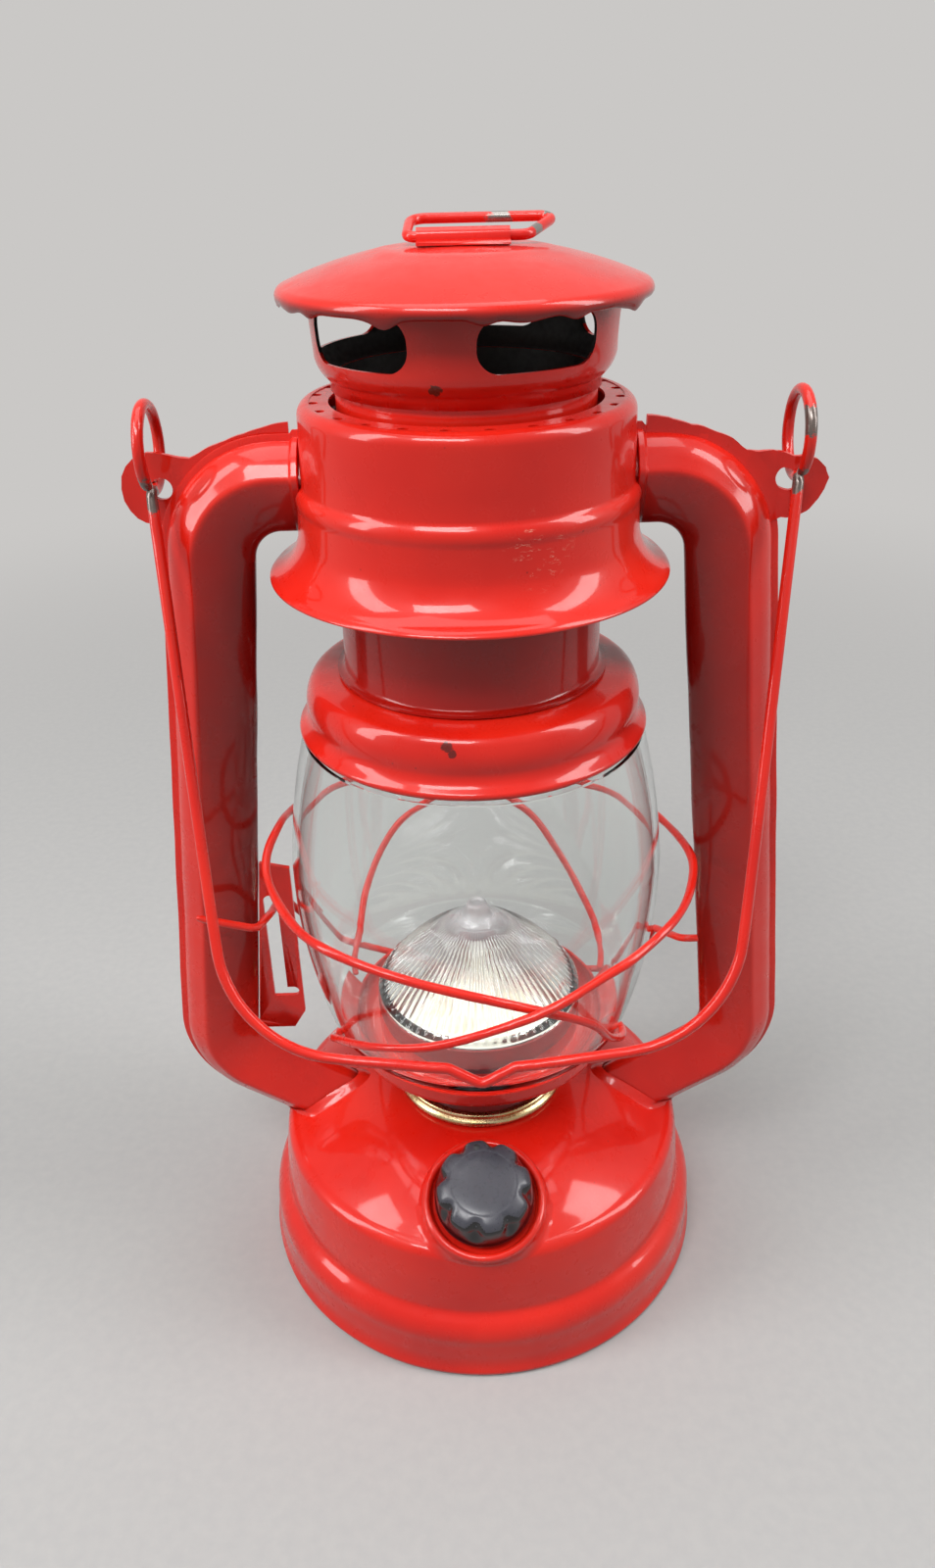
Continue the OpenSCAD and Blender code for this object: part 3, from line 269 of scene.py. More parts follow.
# Chipped to the grey wire in two spots on the front of the guards
guard_enamel = red_enamel("enamel_chipped_on_guard", [
    ((3.5, -43.2, 92.5), 3), ((8, -44, 110), 2)], "#77716c", 0.6)
glass = blown_glass()
lens_clear = lens_plastic(LENS_RIBS)
# Plated brass, pressed and lacquered: warm pale yellow metal with a soft brushed gloss
brass = plain_finish("plated_brass", "#cdbd94", "#b09a68", 0.6, 0.22, 0.18, 0.05, Metallic=1.0)
# Zinc-plated spring steel: bright grey with a mottled gloss
zinc = plain_finish("zinc_plated_steel", "#b9bbbd", "#9a9c9f", 0.5, 0.25, 0.2, 0.05, Metallic=1.0)
# Moulded black ABS with polished tool faces: deep black and wet, with faint mould grain
knob_black = plain_finish("polished_black_abs", "#101013", "#17171a", 0.9, 0.14, 0.08, 0.02, IOR=1.53)
# The same plastic painted charcoal grey on its top face, a painted sheen of the light above; satin
knob_painted_sheen = plain_finish("black_abs_painted_sheen", "#3b3b43", "#46464e", 0.9, 0.26, 0.1, 0.02, IOR=1.53)
# Moulded black ABS from a spark-eroded tool: dark grey and half matt, with an even grain
floor_black = plain_finish("grained_black_abs", "#19191b", "#242426", 0.5, 0.5, 0.2, 0.25, IOR=1.53)
# White solder mask on a glass-fibre board: cool white, half matt
board_white = plain_finish("white_circuit_board", "#f6f4ec", "#eae8de", 0.8, 0.35, 0.15, 0.04)
# Phosphor in silicone over each emitter: pale warm yellow, smooth
emitter_yellow = plain_finish("phosphor_silicone", "#f8f3e6", "#f3ead2", 0.8, 0.2, 0.1, 0.03)
# Dull brown-black: painted shade for the insides of the hood and the underside of the cap
inside_painted_shade = plain_finish("painted_shade_inside_hood", "#17110e", "#241914", 1.2, 0.55, 0.25, 0.1)
# Moulded dark red ABS: half matt, like the enamel in shade
stem_red = plain_finish("dark_red_abs", "#8f140e", "#7a110c", 0.6, 0.3, 0.15, 0.08)
# Foil jacket of a dry cell: dark grey, satin
jacket = plain_finish("cell_foil_jacket", "#2a2c31", "#34363c", 0.8, 0.3, 0.15, 0.03)
# PVC cover of a lead wire: plain red, satin
lead_red = plain_finish("red_pvc_lead", "#a01812", "#8c140f", 0.7, 0.4, 0.1, 0.05)

slot_finish = {
    "red_enamel": enamel, "black_plastic": floor_black, "cell_jacket": jacket, "plated_steel": zinc,
    "lead_cover": lead_red, "brass_plate": brass, "dark_red_plastic": stem_red, "white_board": board_white,
    "led_lens": emitter_yellow, "clear_plastic": lens_clear, "clear_glass": glass, "black_knob": knob_black}
for name, shape in nodes.items():
    shape.data.materials.clear()
    shape.data.materials.append(slot_finish[node_slot[name]])


# Mesh helpers

def piece(name, bm, finish, *replaced, body="frame", sharp=38):
    """Makes a finished object of a bmesh and sets it on its body."""
    mesh = bpy.data.meshes.new(name)
    bm.to_mesh(mesh)
    bm.free()
    mesh.shade_smooth()
    mesh.set_sharp_from_angle(angle=math.radians(sharp))
    mesh.materials.append(finish)
    made = bpy.data.objects.new(name, mesh)
    scene.collection.objects.link(made)
    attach(made, node_body[replaced[0]] if replaced else body)
    if replaced:
        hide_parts(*replaced)
    return made


def second_finish(made, finish, test):
    """Gives the faces that pass a test of their middle in mm and their normal a second finish."""
    made.data.materials.append(finish)
    for face in made.data.polygons:
        if test(face.center / MM, face.normal):
            face.material_index = 1


def clamped(value):
    """A value held between 0 and 1."""
    return min(1.0, max(0.0, value))


def paint_shade_where(made, share):
    """Writes the attribute that lays painted shade on a piece, from a function of a vertex's place in mm."""
    shares = [clamped(share(v.co / MM)) for v in made.data.vertices]
    made.data.attributes.new("painted_shade_share", "FLOAT", "POINT").data.foreach_set("value", shares)


def inward(middle, normal):
    """How far a normal points to the Z axis."""
    return -normal.dot(Vector((middle.x, middle.y, 0)).normalized())


def arc(p, q, r, n=10):
    """Points from p to q on an arc that bulges to the right of its way, or to the left if r is negative."""
    p, q = Vector(p), Vector(q)
    chord = q - p
    side = 1 if r > 0 else -1
    rise = math.sqrt(max(r * r - chord.length_squared / 4, 0))
    middle = (p + q) / 2 + side * rise * Vector((-chord.y, chord.x)).normalized()
    turn = side * 2 * math.asin(min(1, chord.length / 2 / abs(r)))
    return [middle + Matrix.Rotation(turn * i / n, 2) @ (p - middle) for i in range(n + 1)]


def joined(bm, places, closed=True):
    """New vertices at places in metres, and the edges that join them in a loop or a row."""
    verts = [bm.verts.new(p) for p in places]
    return verts, [bm.edges.new(pair) for pair in zip(verts, verts[1:] + (verts[:1] if closed else []))]


def circle_edges(bm, segments, radius, matrix):
    """The edges of a circle of a radius in mm."""
    verts = bmesh.ops.create_circle(bm, segments=segments, radius=radius * MM, matrix=matrix)["verts"]
    return list(dict.fromkeys(e for v in verts for e in v.link_edges))


def spun(line, steps=160, closed=False):
    """A turned sheet: a line of (radius, height) in mm, spun round Z."""
    bm = bmesh.new()
    verts, edges = joined(bm, [(p[0] * MM, 0, p[1] * MM) for p in line], closed)
    bmesh.ops.spin(bm, geom=verts + edges, axis=(0, 0, 1), cent=(0, 0, 0), angle=2 * math.pi, steps=steps,
                   use_merge=True)
    bmesh.ops.remove_doubles(bm, verts=bm.verts, dist=1e-6)
    bmesh.ops.recalc_face_normals(bm, faces=bm.faces)
    return bm


def walled(bm, wall):
    """Gives a sheet a thickness in mm, behind its faces."""
    bmesh.ops.solidify(bm, geom=bm.faces[:], thickness=wall * MM)
    return bm


def pushed(bm, rise):
    """Moves a surface along its normals by a function of a vertex's place, in mm."""
    bm.normal_update()
    for v in bm.verts:
        v.co += v.normal * rise(v.co) * MM
    return bm


def uneven(bm, depth, size, seed):
    """Sinks a sheet by up to a depth in mm, in slow waves of a size in mm, as hand-set tools leave it."""
    shift = Vector((seed, 0, 0))
    return pushed(bm, lambda place: (0.5 * noise.noise(place / (size * MM) + shift) - 0.5) * depth)


def merged(node):
    """A copy of a node's mesh with its doubles merged."""
    bm = bmesh.new()
    bm.from_mesh(nodes[node].data)
    bmesh.ops.remove_doubles(bm, verts=bm.verts, dist=2e-6)
    return bm


def rounded_wire(node, finish, grow=0.0, lumps=0.0):
    """A wire's own mesh, merged and rounded, with a coat of paint in mm and lumps in it."""
    coated = pushed(merged(node), lambda place: grow + lumps * noise.noise(place / (7 * MM)))
    made = piece(node + "_wire", coated, finish, node, sharp=180)
    rounding = made.modifiers.new("round", "SUBSURF")
    rounding.levels = rounding.render_levels = 2
    return made


def drawn_out(bm, edges):
    """Extrudes a row of edges and gives its new edges and vertices."""
    made = bmesh.ops.extrude_edge_only(bm, edges=edges)["geom"]
    verts = [v for v in made if isinstance(v, bmesh.types.BMVert)]
    return [e for e in made if isinstance(e, bmesh.types.BMEdge) and all(v in verts for v in e.verts)], verts


# Camera, floor and light

def photo_camera():
    """The camera as fitted to the photograph: its lens, place, pitch and roll."""
    lens = bpy.data.cameras.new("camera")
    lens.sensor_fit = "VERTICAL"
    lens.sensor_height = 36
    lens.lens = 26.91
    lens.clip_start = 0.01
    camera = bpy.data.objects.new("camera", lens)
    scene.collection.objects.link(camera)
    pitch, roll = 29.545, 1.370
    camera.matrix_world = (Matrix.Translation((-0.001577, -0.2336, 0.26537))
                           @ Matrix.Rotation(math.radians(90 - pitch), 4, "X")
                           @ Matrix.Rotation(math.radians(-roll), 4, "Z"))
    scene.camera = camera


def softbox(name, place, aim, size, power):
    """A soft lamp of a width and height in metres, aimed at a point."""
    light = bpy.data.lights.new(name, "AREA")
    light.shape = "RECTANGLE"
    light.size, light.size_y = size
    light.energy = power
    made = bpy.data.objects.new(name, light)
    scene.collection.objects.link(made)
    place, aim = Vector(place), Vector(aim)
    turn = (aim - place).to_track_quat("-Z", "Y").to_matrix().to_4x4()
    made.matrix_world = Matrix.Translation(place) @ turn


def background_rays(tree):
    """1 for the rays that show the background: straight from the camera, in gloss and through glass."""
    path = add(tree, "ShaderNodeLightPath")
    seen = add(tree, "ShaderNodeMath", {0: path.outputs["Is Camera Ray"], 1: path.outputs["Is Glossy Ray"]},
               operation="MAXIMUM")
    return add(tree, "ShaderNodeMath", {0: seen, 1: path.outputs["Is Transmission Ray"]}, operation="MAXIMUM")


def paper_floor():
    """A floor of matt paper: pale warm grey with a fibre mottle about 3 mm across. It fades into the
    background, and is darker to the rays that only light the object."""
    bm = bmesh.new()
    bmesh.ops.create_circle(bm, cap_ends=True, segments=64, radius=6.0)
    mesh = bpy.data.meshes.new("paper_floor")
    bm.to_mesh(mesh)
    bm.free()
    paper, tree, place = new_finish("pale_paper")
    fibre = add(tree, "ShaderNodeTexNoise", {"Vector": place, "Scale": 1 / (3 * MM), "Detail": 3.0})
    tone = add(tree, "ShaderNodeValToRGB", {"Fac": fibre}, stops=[(0.3, "#acabaa"), (0.7, "#b0afad")])
    reach = add(tree, "ShaderNodeVectorMath", {0: place}, operation="LENGTH")
    far = add(tree, "ShaderNodeMapRange", {"Value": reach.outputs["Value"], "From Min": 0.2,
                                           "From Max": 0.75}, interpolation_type="SMOOTHSTEP")
    near = add(tree, "ShaderNodeBsdfDiffuse", {"Color": tone})
    distance = add(tree, "ShaderNodeEmission", {"Color": linear(BACKGROUND)})
    pale = add(tree, "ShaderNodeMixShader", {0: far, 1: near, 2: distance})
    shaded = add(tree, "ShaderNodeBsdfDiffuse", {"Color": linear("#6b6a69")})
    both = add(tree, "ShaderNodeMixShader", {0: background_rays(tree), 1: shaded, 2: pale})
    add(tree, "ShaderNodeOutputMaterial", {"Surface": both})
    mesh.materials.append(paper)
    floor = bpy.data.objects.new("paper_floor", mesh)
    scene.collection.objects.link(floor)


def studio_light():
    """Broad soft lamps above, in front and beside, and a faint sky that shows the background's tone."""
    softbox("overhead", (-0.05, 0.15, 1.25), (0, 0, 0.15), (1.0, 0.8), 6)
    softbox("front", (-0.35, -0.85, 1.4), (0, 0, 0.12), (0.8, 0.4), 13.5)
    softbox("left", (-0.9, -0.25, 0.72), (0, 0, 0.08), (0.3, 1.0), 7.5)
    softbox("right", (0.9, -0.15, 0.78), (0, 0, 0.08), (0.3, 1.0), 7.5)
    world = bpy.data.worlds.new("studio")
    scene.world = world
    world.use_nodes = True
    sky = world.node_tree
    sky.nodes.clear()
    soft = add(sky, "ShaderNodeBackground", {"Color": linear("#e4e6ea"), "Strength": 0.1})
    seen = add(sky, "ShaderNodeBackground", {"Color": linear(BACKGROUND), "Strength": 1.0})
    both = add(sky, "ShaderNodeMixShader", {0: background_rays(sky), 1: soft, 2: seen})
    add(sky, "ShaderNodeOutputWorld", {"Surface": both})


photo_camera()
paper_floor()
studio_light()
scene.view_settings.view_transform = "Standard"


# Base: pressed shell with a rolled foot, and a boss raised round the knob

foot_bead = 1.6
foot = [(55.9 + foot_bead * math.cos(a), max(1.35 + foot_bead * math.sin(a), 0.0))
        for a in [math.radians(d) for d in range(170, 391, 20)]]
wall_line = ([(56.75, 3.6), (56.75, 6.0), (56.7, 8.5)] + arc((56.55, 10.2), (53.9, 17.3), 7.5, 10)
             + arc((53.5, 17.8), (53.1, 19.2), -1.9, 4) + [(52.9, 22.5), (52.6, 27.0), (52.2, 31.0)]
             + arc((51.75, 33.6), (49.2, 36.5), 3.1, 8))
dome_line = arc((48.6, 36.85), (21.1, 46.45), 67, 20) + [(20.4, 46.5)]
shell = walled(uneven(spun(foot + wall_line + dome_line, steps=192), 0.3, 24, 3.1), THICK_SHEET)
shell_tree = BVHTree.FromBMesh(shell)
piece("pressed_base", shell, enamel, "base_shell")

boss_frame = Matrix.Translation((0, -41.3 * MM, 44.3 * MM)) @ Matrix.Rotation(math.radians(21), 4, "X")
boss = spun([(4.5, -2.5), (11.9, -2.5)] + arc((12.2, -2.45), (12.7, -2.0), -0.6, 3)
            + arc((12.75, -0.7), (14.6, -0.7), -0.95, 8) + [(14.65, -1.6)], steps=96)
rim_edges = [e for e in boss.edges if e.is_boundary and e.verts[0].co.to_2d().length > 14 * MM]
# Three rows lead the boss down on to the dome, by the radius and depth that each aims at, the share that it
# keeps of the last row's place, and how far it is sunk
boss_rows = ((15.2, -4.2, 0.35, 0.0), (16.3, -5.0, 0.08, 0.0), (17.0, -5.4, 0.0, 0.06))
for radius, depth, share, sunk in boss_rows:
    rim_edges, rim_verts = drawn_out(boss, rim_edges)
    for v in rim_verts:
        out = Vector((v.co.x, v.co.y, 0)).normalized()
        aim = boss_frame @ (out * radius * MM + Vector((0, 0, depth * MM)))
        hit, normal = shell_tree.find_nearest(aim)[:2]
        v.co = boss_frame.inverted() @ (hit.lerp(boss_frame @ v.co, share) - normal * sunk * MM)
bmesh.ops.transform(boss, matrix=boss_frame, verts=boss.verts)
bmesh.ops.recalc_face_normals(boss, faces=boss.faces)
piece("knob_boss", boss, enamel)


# Knob: a fluted cap, its top disc painted grey as a painted sheen, and a raised index dot

knob_line = ([(9.4, -0.3), (11.3, -0.3)] + arc((11.45, -0.2), (11.7, 0.15), 0.4, 3)
             + [(11.65, 1.2), (11.6, 2.2), (11.55, 3.2), (11.45, 4.2), (11.35, 5.2)]
             + arc((11.25, 6.0), (9.0, 8.9), 3.1, 10) + [(8.5, 9.08), (8.0, 9.2), (7.7, 9.26), (7.5, 9.22)]
             + [(7.3, 9.3), (5.5, 9.5), (3.0, 9.63), (0.0, 9.7)])
knob_shape = spun(knob_line)
scoops, scoop_depth, scoop_turn = 8, 1.3, math.radians(10)
for v in knob_shape.verts:
    radius, height = v.co.to_2d().length / MM, v.co.z / MM
    # The scoops are deepest under the shoulder, and run out above the foot and at the disc on top
    share = (0.5 - 0.5 * math.cos(scoops * (math.atan2(v.co.y, v.co.x) - scoop_turn))) ** 3
    share *= clamped((height - 2.4) / 3.6) * clamped((radius - 7.9) / 2.6)
    if share:
        v.co.xy *= 1 - scoop_depth * share / radius
        v.co.z -= 0.4 * MM * share
bmesh.ops.transform(knob_shape, matrix=boss_frame, verts=knob_shape.verts)
knob = piece("fluted_knob", knob_shape, knob_black, "knob", sharp=50)
# Painted sheen: the faces turned up along the knob's axis get the lighter grey
second_finish(knob, knob_painted_sheen, lambda c, n: n.dot(boss_frame.to_3x3().col[2]) > 0.55)
dot = spun([(0.0, 0.14), (0.45, 0.12), (0.72, 0.02), (0.8, -0.1)], steps=24)
dot_place = Matrix.Translation((-1.49 * MM, 8.47 * MM, 9.2 * MM))
bmesh.ops.transform(dot, matrix=boss_frame @ dot_place, verts=dot.verts)
piece("knob_index_dot", dot, floor_black, body="knob")


# Hood: collar, chimney, crown and cap

collar_line = ([(37.2, 150.25), (37.55, 150.3)] + arc((37.7, 150.45), (37.7, 152.0), 0.95, 6)
               + arc((37.1, 152.55), (35.9, 155.0), -3.4, 6) + arc((36.0, 155.6), (35.6, 160.2), 7.5, 8)
               + arc((35.3, 160.9), (32.6, 162.95), 3.4, 6) + [(30.4, 163.3), (27.4, 163.55)])
collar = walled(uneven(spun(collar_line), 0.2, 17, 5.7), THIN_SHEET)
piece("pressed_collar", collar, collar_enamel, "globe_collar")
chimney_line = ([(28.8, 164.35), (28.0, 164.4)] + arc((27.9, 164.45), (27.2, 165.3), -0.9, 4)
                + [(27.2, 180.0), (27.2, 196.6)] + arc((27.1, 197.6), (25.3, 200.2), 3.2, 5)
                + [(25.2, 200.8), (25.2, 224.0)])
chimney = piece("chimney_sheet", walled(spun(chimney_line), THIN_SHEET), chimney_enamel, "chimney_tube")
# Painted shade under the skirt, growing towards the bottom
paint_shade_where(chimney, lambda c: (204 - c.z) / 12)
crown = piece("crown_sheet", merged("vent_crown"), crown_enamel, "vent_crown")
cap_line = ([(34.2, 237.0), (34.6, 237.3), (34.85, 237.9)] + arc((34.9, 238.4), (33.7, 239.95), 1.9, 6)
            + arc((33.2, 240.15), (17.6, 244.85), 90, 10) + arc((17.0, 245.0), (13.5, 245.5), 14, 4)
            + [(9.0, 245.65), (4.5, 245.8), (0.0, 245.85)])
cap_shape = walled(spun(cap_line, steps=220), THICK_SHEET)
for v in cap_shape.verts:
    # Drips of paint hang along the rim
    low = clamped((238.3 - v.co.z / MM) / 1.4)
    turn = math.atan2(v.co.y, v.co.x)
    drip = 0.7 * max(0.0, math.sin(9 * turn + 0.6)) ** 2 + 0.9 * max(0.0, math.sin(13 * turn + 2.1)) ** 3
    v.co.z += (0.35 - drip) * low * MM
cap = piece("cap_sheet", cap_shape, cap_enamel, "cap")
# Painted shade on the lowest band of the rim
paint_shade_where(cap, lambda c: 239 - c.z)
# The insides of the chimney and crown, and the cap's underside, are painted brown-black as painted shade
second_finish(chimney, inside_painted_shade, lambda c, n: inward(c, n) > 0.3)
second_finish(crown, inside_painted_shade, lambda c, n: inward(c, n) > 0.3 or (n.z > 0.5 and c.z < 226))
second_finish(cap, inside_painted_shade, lambda c, n: n.z < -0.5 and c.to_2d().length < 33)
piece("strap_sheet", merged("ring_strap"), enamel, "ring_strap")


# Drum: skirt, step and shoulder, and the top plate with its row of vents

skirt_line = ([(40.7, 185.1)] + arc((40.95, 185.2), (40.9, 185.9), 0.5, 4)
              + arc((40.3, 186.5), (34.7, 193.2), -9.5, 14) + [(34.55, 194.5), (34.4, 197.0), (34.3, 199.3)])
drum_line = (arc((34.3, 199.8), (33.4, 203.6), 3.4, 8)
             + [(33.3, 204.2), (33.2, 208.0), (33.1, 212.0), (33.0, 215.8)]
             + arc((32.95, 217.0), (30.9, 219.4), 2.6, 8) + [(30.3, 219.35)])
drum = walled(uneven(spun(skirt_line + drum_line), 0.24, 20, 1.3), THIN_SHEET)
piece("drum_sheet", drum, drum_enamel, "drum_shell")


def ring_plate(inner, outer, height, holes, hole_at, hole_d, wall):
    """A flat ring with a row of round holes, in mm."""
    bm = bmesh.new()
    rows = [(inner, 0, 0, 96), (outer, 0, 0, 128)]
    rows += [(hole_d / 2, hole_at * math.cos(a), hole_at * math.sin(a), 16)
             for a in [2 * math.pi * (k + 0.5) / holes for k in range(holes)]]
    edges = []
    for radius, x, y, count in rows:
        edges += circle_edges(bm, count, radius, Matrix.Translation((x * MM, y * MM, height * MM)))
    bmesh.ops.triangle_fill(bm, use_beauty=True, use_dissolve=False, normal=(0, 0, 1), edges=edges)
    bmesh.ops.recalc_face_normals(bm, faces=bm.faces)
    if bm.faces[:][0].normal.z < 0:
        bmesh.ops.reverse_faces(bm, faces=bm.faces)
    return walled(bm, wall)


vents = ring_plate(26.6, 31.2, 219.1, holes=24, hole_at=29.6, hole_d=2.1, wall=THIN_SHEET)
piece("vent_plate", vents, enamel, "drum_top_plate")


# Side tubes: two pressed halves with a seam flange, bent at top and foot

tube_half = [(-9.2, 0.0), (-9.0, 0.9), (-8.5, 1.7), (-7.6, 2.5), (-6.4, 3.2), (-4.6, 4.15), (-2.4, 5.2),
             (0.0, 6.3), (1.9, 7.1), (2.7, 7.35), (3.5, 7.2), (4.1, 6.7), (5.6, 5.75), (7.1, 4.5), (8.2, 3.1),
             (8.9, 1.8), (9.2, 0.55), (10.3, 0.5), (10.6, 0.3)]
tube_section = tube_half + [(u, -v) for u, v in reversed(tube_half[1:])]
# Height of the tube's axis at the drum, radius of both bends, and length of the run between them
tube_height, bend_radius, run_length = 202.3, 15.0, 123.5
# The neck into the drum: its share of the tube's size, and where it ends
neck_size, neck_x = 0.8, 32.87
splay, foot_turn = math.radians(5.9), math.radians(62.9)
outward = Vector((math.cos(splay), 0, math.sin(splay)))
run_way = Vector((math.sin(splay), 0, -math.cos(splay)))
foot_out, foot_way = [Matrix.Rotation(foot_turn, 3, "Y") @ way for way in (outward, run_way)]
bend_top = Vector((38.0, 0, tube_height - bend_radius))
run_start = bend_top + bend_radius * outward
run_end = run_start + run_length * run_way
bend_foot = run_end - bend_radius * outward


def side_tube(seed):
    """The right tube from the drum to the base: straight runs are drawn out and bends are spun."""
    bm = bmesh.new()
    neck = [Vector((31.5, neck_size * v, tube_height + neck_size * u)) * MM for u, v in tube_section]
    edges = joined(bm, neck)[1]

    def straight(edges, way, length, parts):
        for _ in range(parts):
            edges, moved = drawn_out(bm, edges)
            bmesh.ops.translate(bm, verts=moved, vec=way * (length / parts * MM))
        return edges

    def bent(edges, centre, angle, steps):
        made = bmesh.ops.spin(bm, geom=edges, cent=centre * MM, axis=(0, 1, 0), angle=angle, steps=steps)
        return [e for e in made["geom_last"] if isinstance(e, bmesh.types.BMEdge)]

    # A narrow neck into the drum leaves a dark gap, and the tube's end is flared to a rim
    axis = Matrix.Translation((0, 0, -tube_height * MM))
    was = neck_size
    for x, size in ((32.85, neck_size), (32.9, 1.03), (33.15, 1.07), (34.3, 1.07), (34.9, 1.0), (38.0, 1.0)):
        edges, moved = drawn_out(bm, edges)
        bmesh.ops.scale(bm, verts=moved, vec=(1, size / was, size / was), space=axis)
        bmesh.ops.translate(bm, verts=moved, vec=(x * MM - moved[0].co.x, 0, 0))
        was = size
    edges = bent(edges, bend_top, math.pi / 2 - splay, 24)
    edges = straight(edges, run_way, run_length, 40)
    edges = bent(edges, bend_foot, foot_turn, 20)
    straight(edges, foot_way, 26, 8)
    bmesh.ops.remove_doubles(bm, verts=bm.verts, dist=1e-7)
    bmesh.ops.recalc_face_normals(bm, faces=bm.faces)
    return uneven(bm, 0.4, 15, seed)


def solder_seam():
    """The fillet of paint and solder where the right tube's foot meets the base."""
    bm = bmesh.new()
    foot_start = bend_foot + bend_radius * foot_out
    hits = []
    for u, v in tube_section:
        out = foot_out * u + Vector((0, v, 0))
        hit = shell_tree.ray_cast((foot_start - 4 * foot_way + out) * MM, foot_way)[0]
        # The seam flange stands clear of the fillet
        if hit and u < 9.4:
            hits.append((hit, out.normalized()))
    edges = joined(bm, [hit + out * 0.1 * MM - foot_way * 2.2 * MM for hit, out in hits])[1]
    for lift, spread in ((1.0, 0.35), (0.35, 0.95), (-0.15, 2.0)):
        edges, moved = drawn_out(bm, edges)
        for v, (hit, out) in zip(moved, hits):
            wave = 1 + 0.5 * noise.noise(hit / (5 * MM))
            spot, normal = shell_tree.find_nearest(hit + out * spread * wave * MM)[:2]
            v.co = spot + normal * lift * wave * MM
    bmesh.ops.recalc_face_normals(bm, faces=bm.faces)
    return bm


def ear(outline, hole_x, hole_z, waves):
    """A bail ear: a lobe with a hole and a fin that runs on over the tube's bend to the drum, one sheet thick
    and bent."""
    bm = bmesh.new()
    thick = 1.0
    inner = [(59.5, 192.0), (55.0, 194.5), (50.5, 200.0), (45.0, 204.5), (39.0, 207.0), (35.0, 207.6)]
    corners = [Vector(p) for p in outline + inner]
    line = [p.lerp(q, i / 3) for p, q in zip(corners, corners[1:] + corners[:1]) for i in range(3)]
    rim = joined(bm, [(p.x * MM, 0, p.y * MM) for p in line])[1]
    hole_place = Matrix.Translation((hole_x * MM, 0, hole_z * MM)) @ Matrix.Rotation(math.pi / 2, 4, "X")
    rim += circle_edges(bm, 24, 2.2, hole_place)
    bmesh.ops.triangle_fill(bm, use_beauty=True, use_dissolve=False, edges=rim)
    for v in bm.verts:
        # Only what stands clear of the tube is bent
        rise = max(0.0, (v.co - bend_top * MM).length / MM - 24)
        v.co.y = 0.22 * waves * min(rise, 5) * noise.noise(Vector((v.co.x / (6 * MM), waves, 0))) * MM
        v.co.z += 0.25 * waves * min(rise, 1) * noise.noise(Vector((v.co.x / (2.5 * MM), 3, waves))) * MM
    bmesh.ops.recalc_face_normals(bm, faces=bm.faces)
    walled(bm, thick)
    bmesh.ops.translate(bm, verts=bm.verts, vec=(0, thick / 2 * MM, 0))
    return bm


def mirrored(bm):
    """Turns a right-hand piece into a left-hand one."""
    bmesh.ops.scale(bm, verts=bm.verts, vec=(-1, 1, 1))
    bmesh.ops.reverse_faces(bm, faces=bm.faces)
    return bm


def tube_painted_shade(side):
    """How much painted shade a tube gets: none on its outer side, most at its inner edge and neck, fading out
    at the foot."""
    def share(place):
        spot = Vector((place.x * side, 0, place.z))
        along, out = (spot - run_start).dot(run_way), (spot - run_start).dot(outward)
        if along < 0:
            out = (spot - bend_top).length - bend_radius if spot.x > bend_top.x else spot.z - tube_height
        elif along > run_length:
            out = (spot - bend_foot).length - bend_radius
        # Painted shade: darkest at the tube's inner edge, and filling the whole neck in its gap
        edge = clamped((3.3 - out) / 0.8) * (0.4 + 0.6 * clamped((2.0 - out) / 9))
        return 1.0 if spot.x < neck_x else edge * clamped((136 - along) / 30)
    return share


piece("seam_right", solder_seam(), enamel)
piece("seam_left", mirrored(solder_seam()), enamel)
tube_right = piece("tube_right", side_tube(2.2), tube_enamel, "side_tube_right", sharp=32)
paint_shade_where(tube_right, tube_painted_shade(1))
tube_left = piece("tube_left", mirrored(side_tube(8.4)), tube_enamel, "side_tube_left", sharp=32)
paint_shade_where(tube_left, tube_painted_shade(-1))
fin = [(35.0, 214.8), (38.2, 214.4), (41.4, 213.5), (45.2, 212.4), (48.9, 211.1), (52.2, 209.7)]
left_lobe = [(55.1, 208.1), (57.9, 208.6), (60.7, 209.2), (63.6, 209.5), (66.1, 208.6), (68.0, 206.9),
             (69.1, 205.0), (69.5, 202.4), (69.3, 200.0), (68.4, 197.9), (67.2, 196.3), (65.6, 195.3),
             (63.6, 195.0), (61.5, 194.6)]
right_lobe = [(55.3, 207.5), (57.7, 207.2), (60.2, 207.3), (62.4, 207.1), (64.6, 206.6), (67.0, 206.6),
              (69.1, 205.7), (70.8, 203.9), (71.8, 201.7), (71.2, 199.5), (70.1, 197.5), (68.6, 195.7),
              (66.8, 194.4), (63.5, 194.0)]
piece("ear_right", ear(fin + right_lobe, 63.6, 201.9, 1.6), enamel)
piece("ear_left", mirrored(ear(fin + left_lobe, 61.4, 202.2, 0.7)), enamel)


# Globe, dish and lamp

globe_line = ([(25.6, 64.8), (27.0, 64.8)] + arc((28.0, 64.8), (31.8, 68.5), 9, 6)
              + arc((37.3, 74.0), (43.0, 113.0), 134, 24) + arc((42.95, 117.0), (37.5, 149.2), 165, 20)
              + arc((36.3, 150.0), (32.3, 155.2), 8, 8) + [(31.7, 157.2)])
piece("blown_globe", walled(spun(globe_line), 1.7), glass, "globe_glass")
piece("dish_sheet", merged("globe_plate"), enamel, "globe_plate")
band_line = ([(19.35, 46.6), (21.0, 46.6)] + arc((21.3, 46.65), (21.3, 48.3), 0.95, 6)
             + [(20.9, 48.6), (20.9, 48.9)] + arc((21.0, 49.0), (20.6, 50.0), 0.65, 5)
             + [(20.0, 49.95), (19.4, 49.7), (19.35, 46.7)])
piece("neck_band", spun(band_line), brass, "neck_ring")
piece("bracket_sheet", merged("lever_bracket"), enamel, "lever_bracket")
piece("stem", merged("lamp_post"), stem_red, "lamp_post")


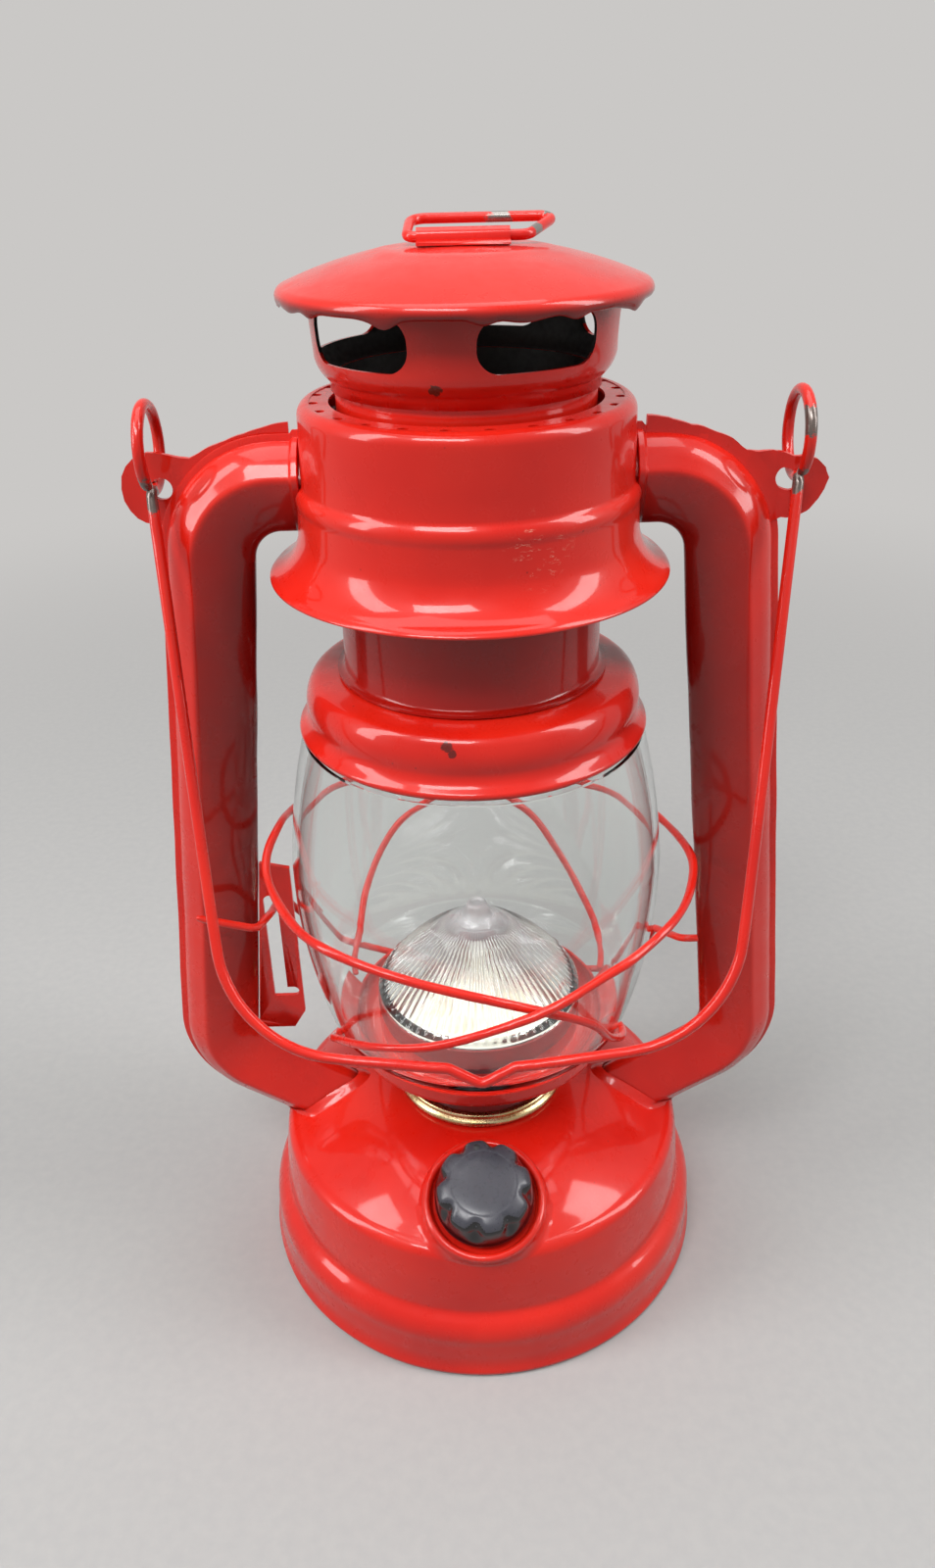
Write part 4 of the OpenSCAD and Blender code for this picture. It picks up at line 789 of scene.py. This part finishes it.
def ribbed_lens(foot_z, skirt, ribs, depth):
    """A clear cone with fine ribs down its outside, a smooth inside and a hollowed nub on top. Its foot is at
    a height in mm, and a skirt goes on down inside the band that holds it."""
    cone = ([(25.2, 0.0), (25.2, 1.0)] + arc((24.9, 1.5), (7.2, 18.3), 62, 22)
            + arc((6.8, 18.6), (2.7, 22.7), -7.5, 8))
    nub = arc((2.55, 23.5), (1.8, 24.45), 1.1, 4) + [(1.5, 24.4), (1.0, 24.1), (0.0, 24.0)]
    skin = [(24.4, -skirt), (24.4, 0.0)] + cone + nub
    inside = ([(23.3, -skirt), (23.3, 0.5)] + arc((23.2, 1.6), (4.2, 17.2), 62, 16)
              + [(1.8, 18.2), (0.0, 18.4)])
    bm = spun([(r, foot_z + z) for r, z in skin[::-1] + inside], steps=ribs * 6)
    for v in bm.verts:
        radius, height = v.co.to_2d().length / MM, v.co.z / MM - foot_z
        # The ribs start above the foot and run out below the nub
        rise = clamped((height - 1.4) / 1.2) * clamped((18.6 - height) / 4.0)
        outside = min(skin, key=lambda p: abs(p[1] - height))[0]
        if rise and abs(radius - outside) < 0.7:
            dip = abs(math.sin(ribs / 2 * math.atan2(v.co.y, v.co.x)))
            v.co.xy *= 1 - depth * dip * rise * clamped(radius / 14) / radius
    return bm


lens_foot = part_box("lens_cone")[0][2] / MM
# A band holds the lens on the lamp's flange, and the cone stands on its top edge
band_height, band_gap = 3.95, 0.05
lens = ribbed_lens(lens_foot + band_height + band_gap, band_height, LENS_RIBS, 0.7)
piece("ribbed_lens", lens, lens_clear, "lens_cone", sharp=24)
lens_band_line = [(24.6, 0.0), (25.5, 0.0), (25.5, 3.7), (25.1, band_height), (24.6, band_height)]
lens_band = spun([(r, lens_foot + z) for r, z in lens_band_line], steps=128, closed=True)
piece("lens_band", lens_band, stem_red)


# Wires: lift ring, bail, guards, lever, springs and leads

def bent_ring(corners, radii, wire):
    """A closed ring of wire in the XY plane: straight runs are drawn out and corners are spun, in mm, from
    the middle of the last run."""
    bm = bmesh.new()
    points = [Vector(c + (0,)) for c in corners]
    ways = [(q - p).normalized() for p, q in zip(points, points[1:] + points[:1])]
    start = at = (points[-1] + points[0]) / 2
    across = Matrix.Translation(at * MM) @ Matrix.Rotation(math.pi / 2, 4, "Y")
    edges = circle_edges(bm, 14, wire / 2, across)
    before = ways[-1]
    for corner, after, radius in zip(points, ways, radii):
        turn = before.to_2d().angle_signed(after.to_2d())
        reach = radius * math.tan(abs(turn) / 2)
        edges, moved = drawn_out(bm, edges)
        bmesh.ops.translate(bm, verts=moved, vec=(corner - before * reach - at) * MM)
        at = corner - before * reach
        side = Vector((before.y, -before.x, 0)) * (1 if turn > 0 else -1)
        centre = (at + side * radius) * MM
        made = bmesh.ops.spin(bm, geom=edges, cent=centre, axis=(0, 0, 1), angle=-turn, steps=8)
        edges = [e for e in made["geom_last"] if isinstance(e, bmesh.types.BMEdge)]
        at, before = corner + after * reach, after
    moved = drawn_out(bm, edges)[1]
    bmesh.ops.translate(bm, verts=moved, vec=(start - at) * MM)
    bmesh.ops.remove_doubles(bm, verts=bm.verts, dist=1e-5)
    bmesh.ops.recalc_face_normals(bm, faces=bm.faces)
    return bm


lift_ring = bent_ring([(-10.3, 0.0), (-9.9, 11.8), (17.9, 11.8), (11.8, 0.0)], (1.7, 3.2, 2.2, 2.4), 1.9)
ring_place = Matrix.Translation((0, 0, 247.05 * MM)) @ Matrix.Rotation(math.radians(11), 4, "X")
bmesh.ops.transform(lift_ring, matrix=ring_place, verts=lift_ring.verts)
piece("lift_ring_wire", lift_ring, ring_enamel, "lift_ring", sharp=60)

rounded_wire("bail", bail_enamel, 0.16, 0.1)
rounded_wire("guard_wire_left", guard_enamel, 0.24, 0.22)
rounded_wire("guard_wire_right", guard_enamel, 0.24, 0.22)
rounded_wire("lift_lever", enamel, 0.15, 0.12)
rounded_wire("contact_springs", zinc, 0.06)
rounded_wire("lamp_leads", lead_red, 0.1)
spring = rounded_wire("hood_spring", zinc, 0.06)
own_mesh(spring)
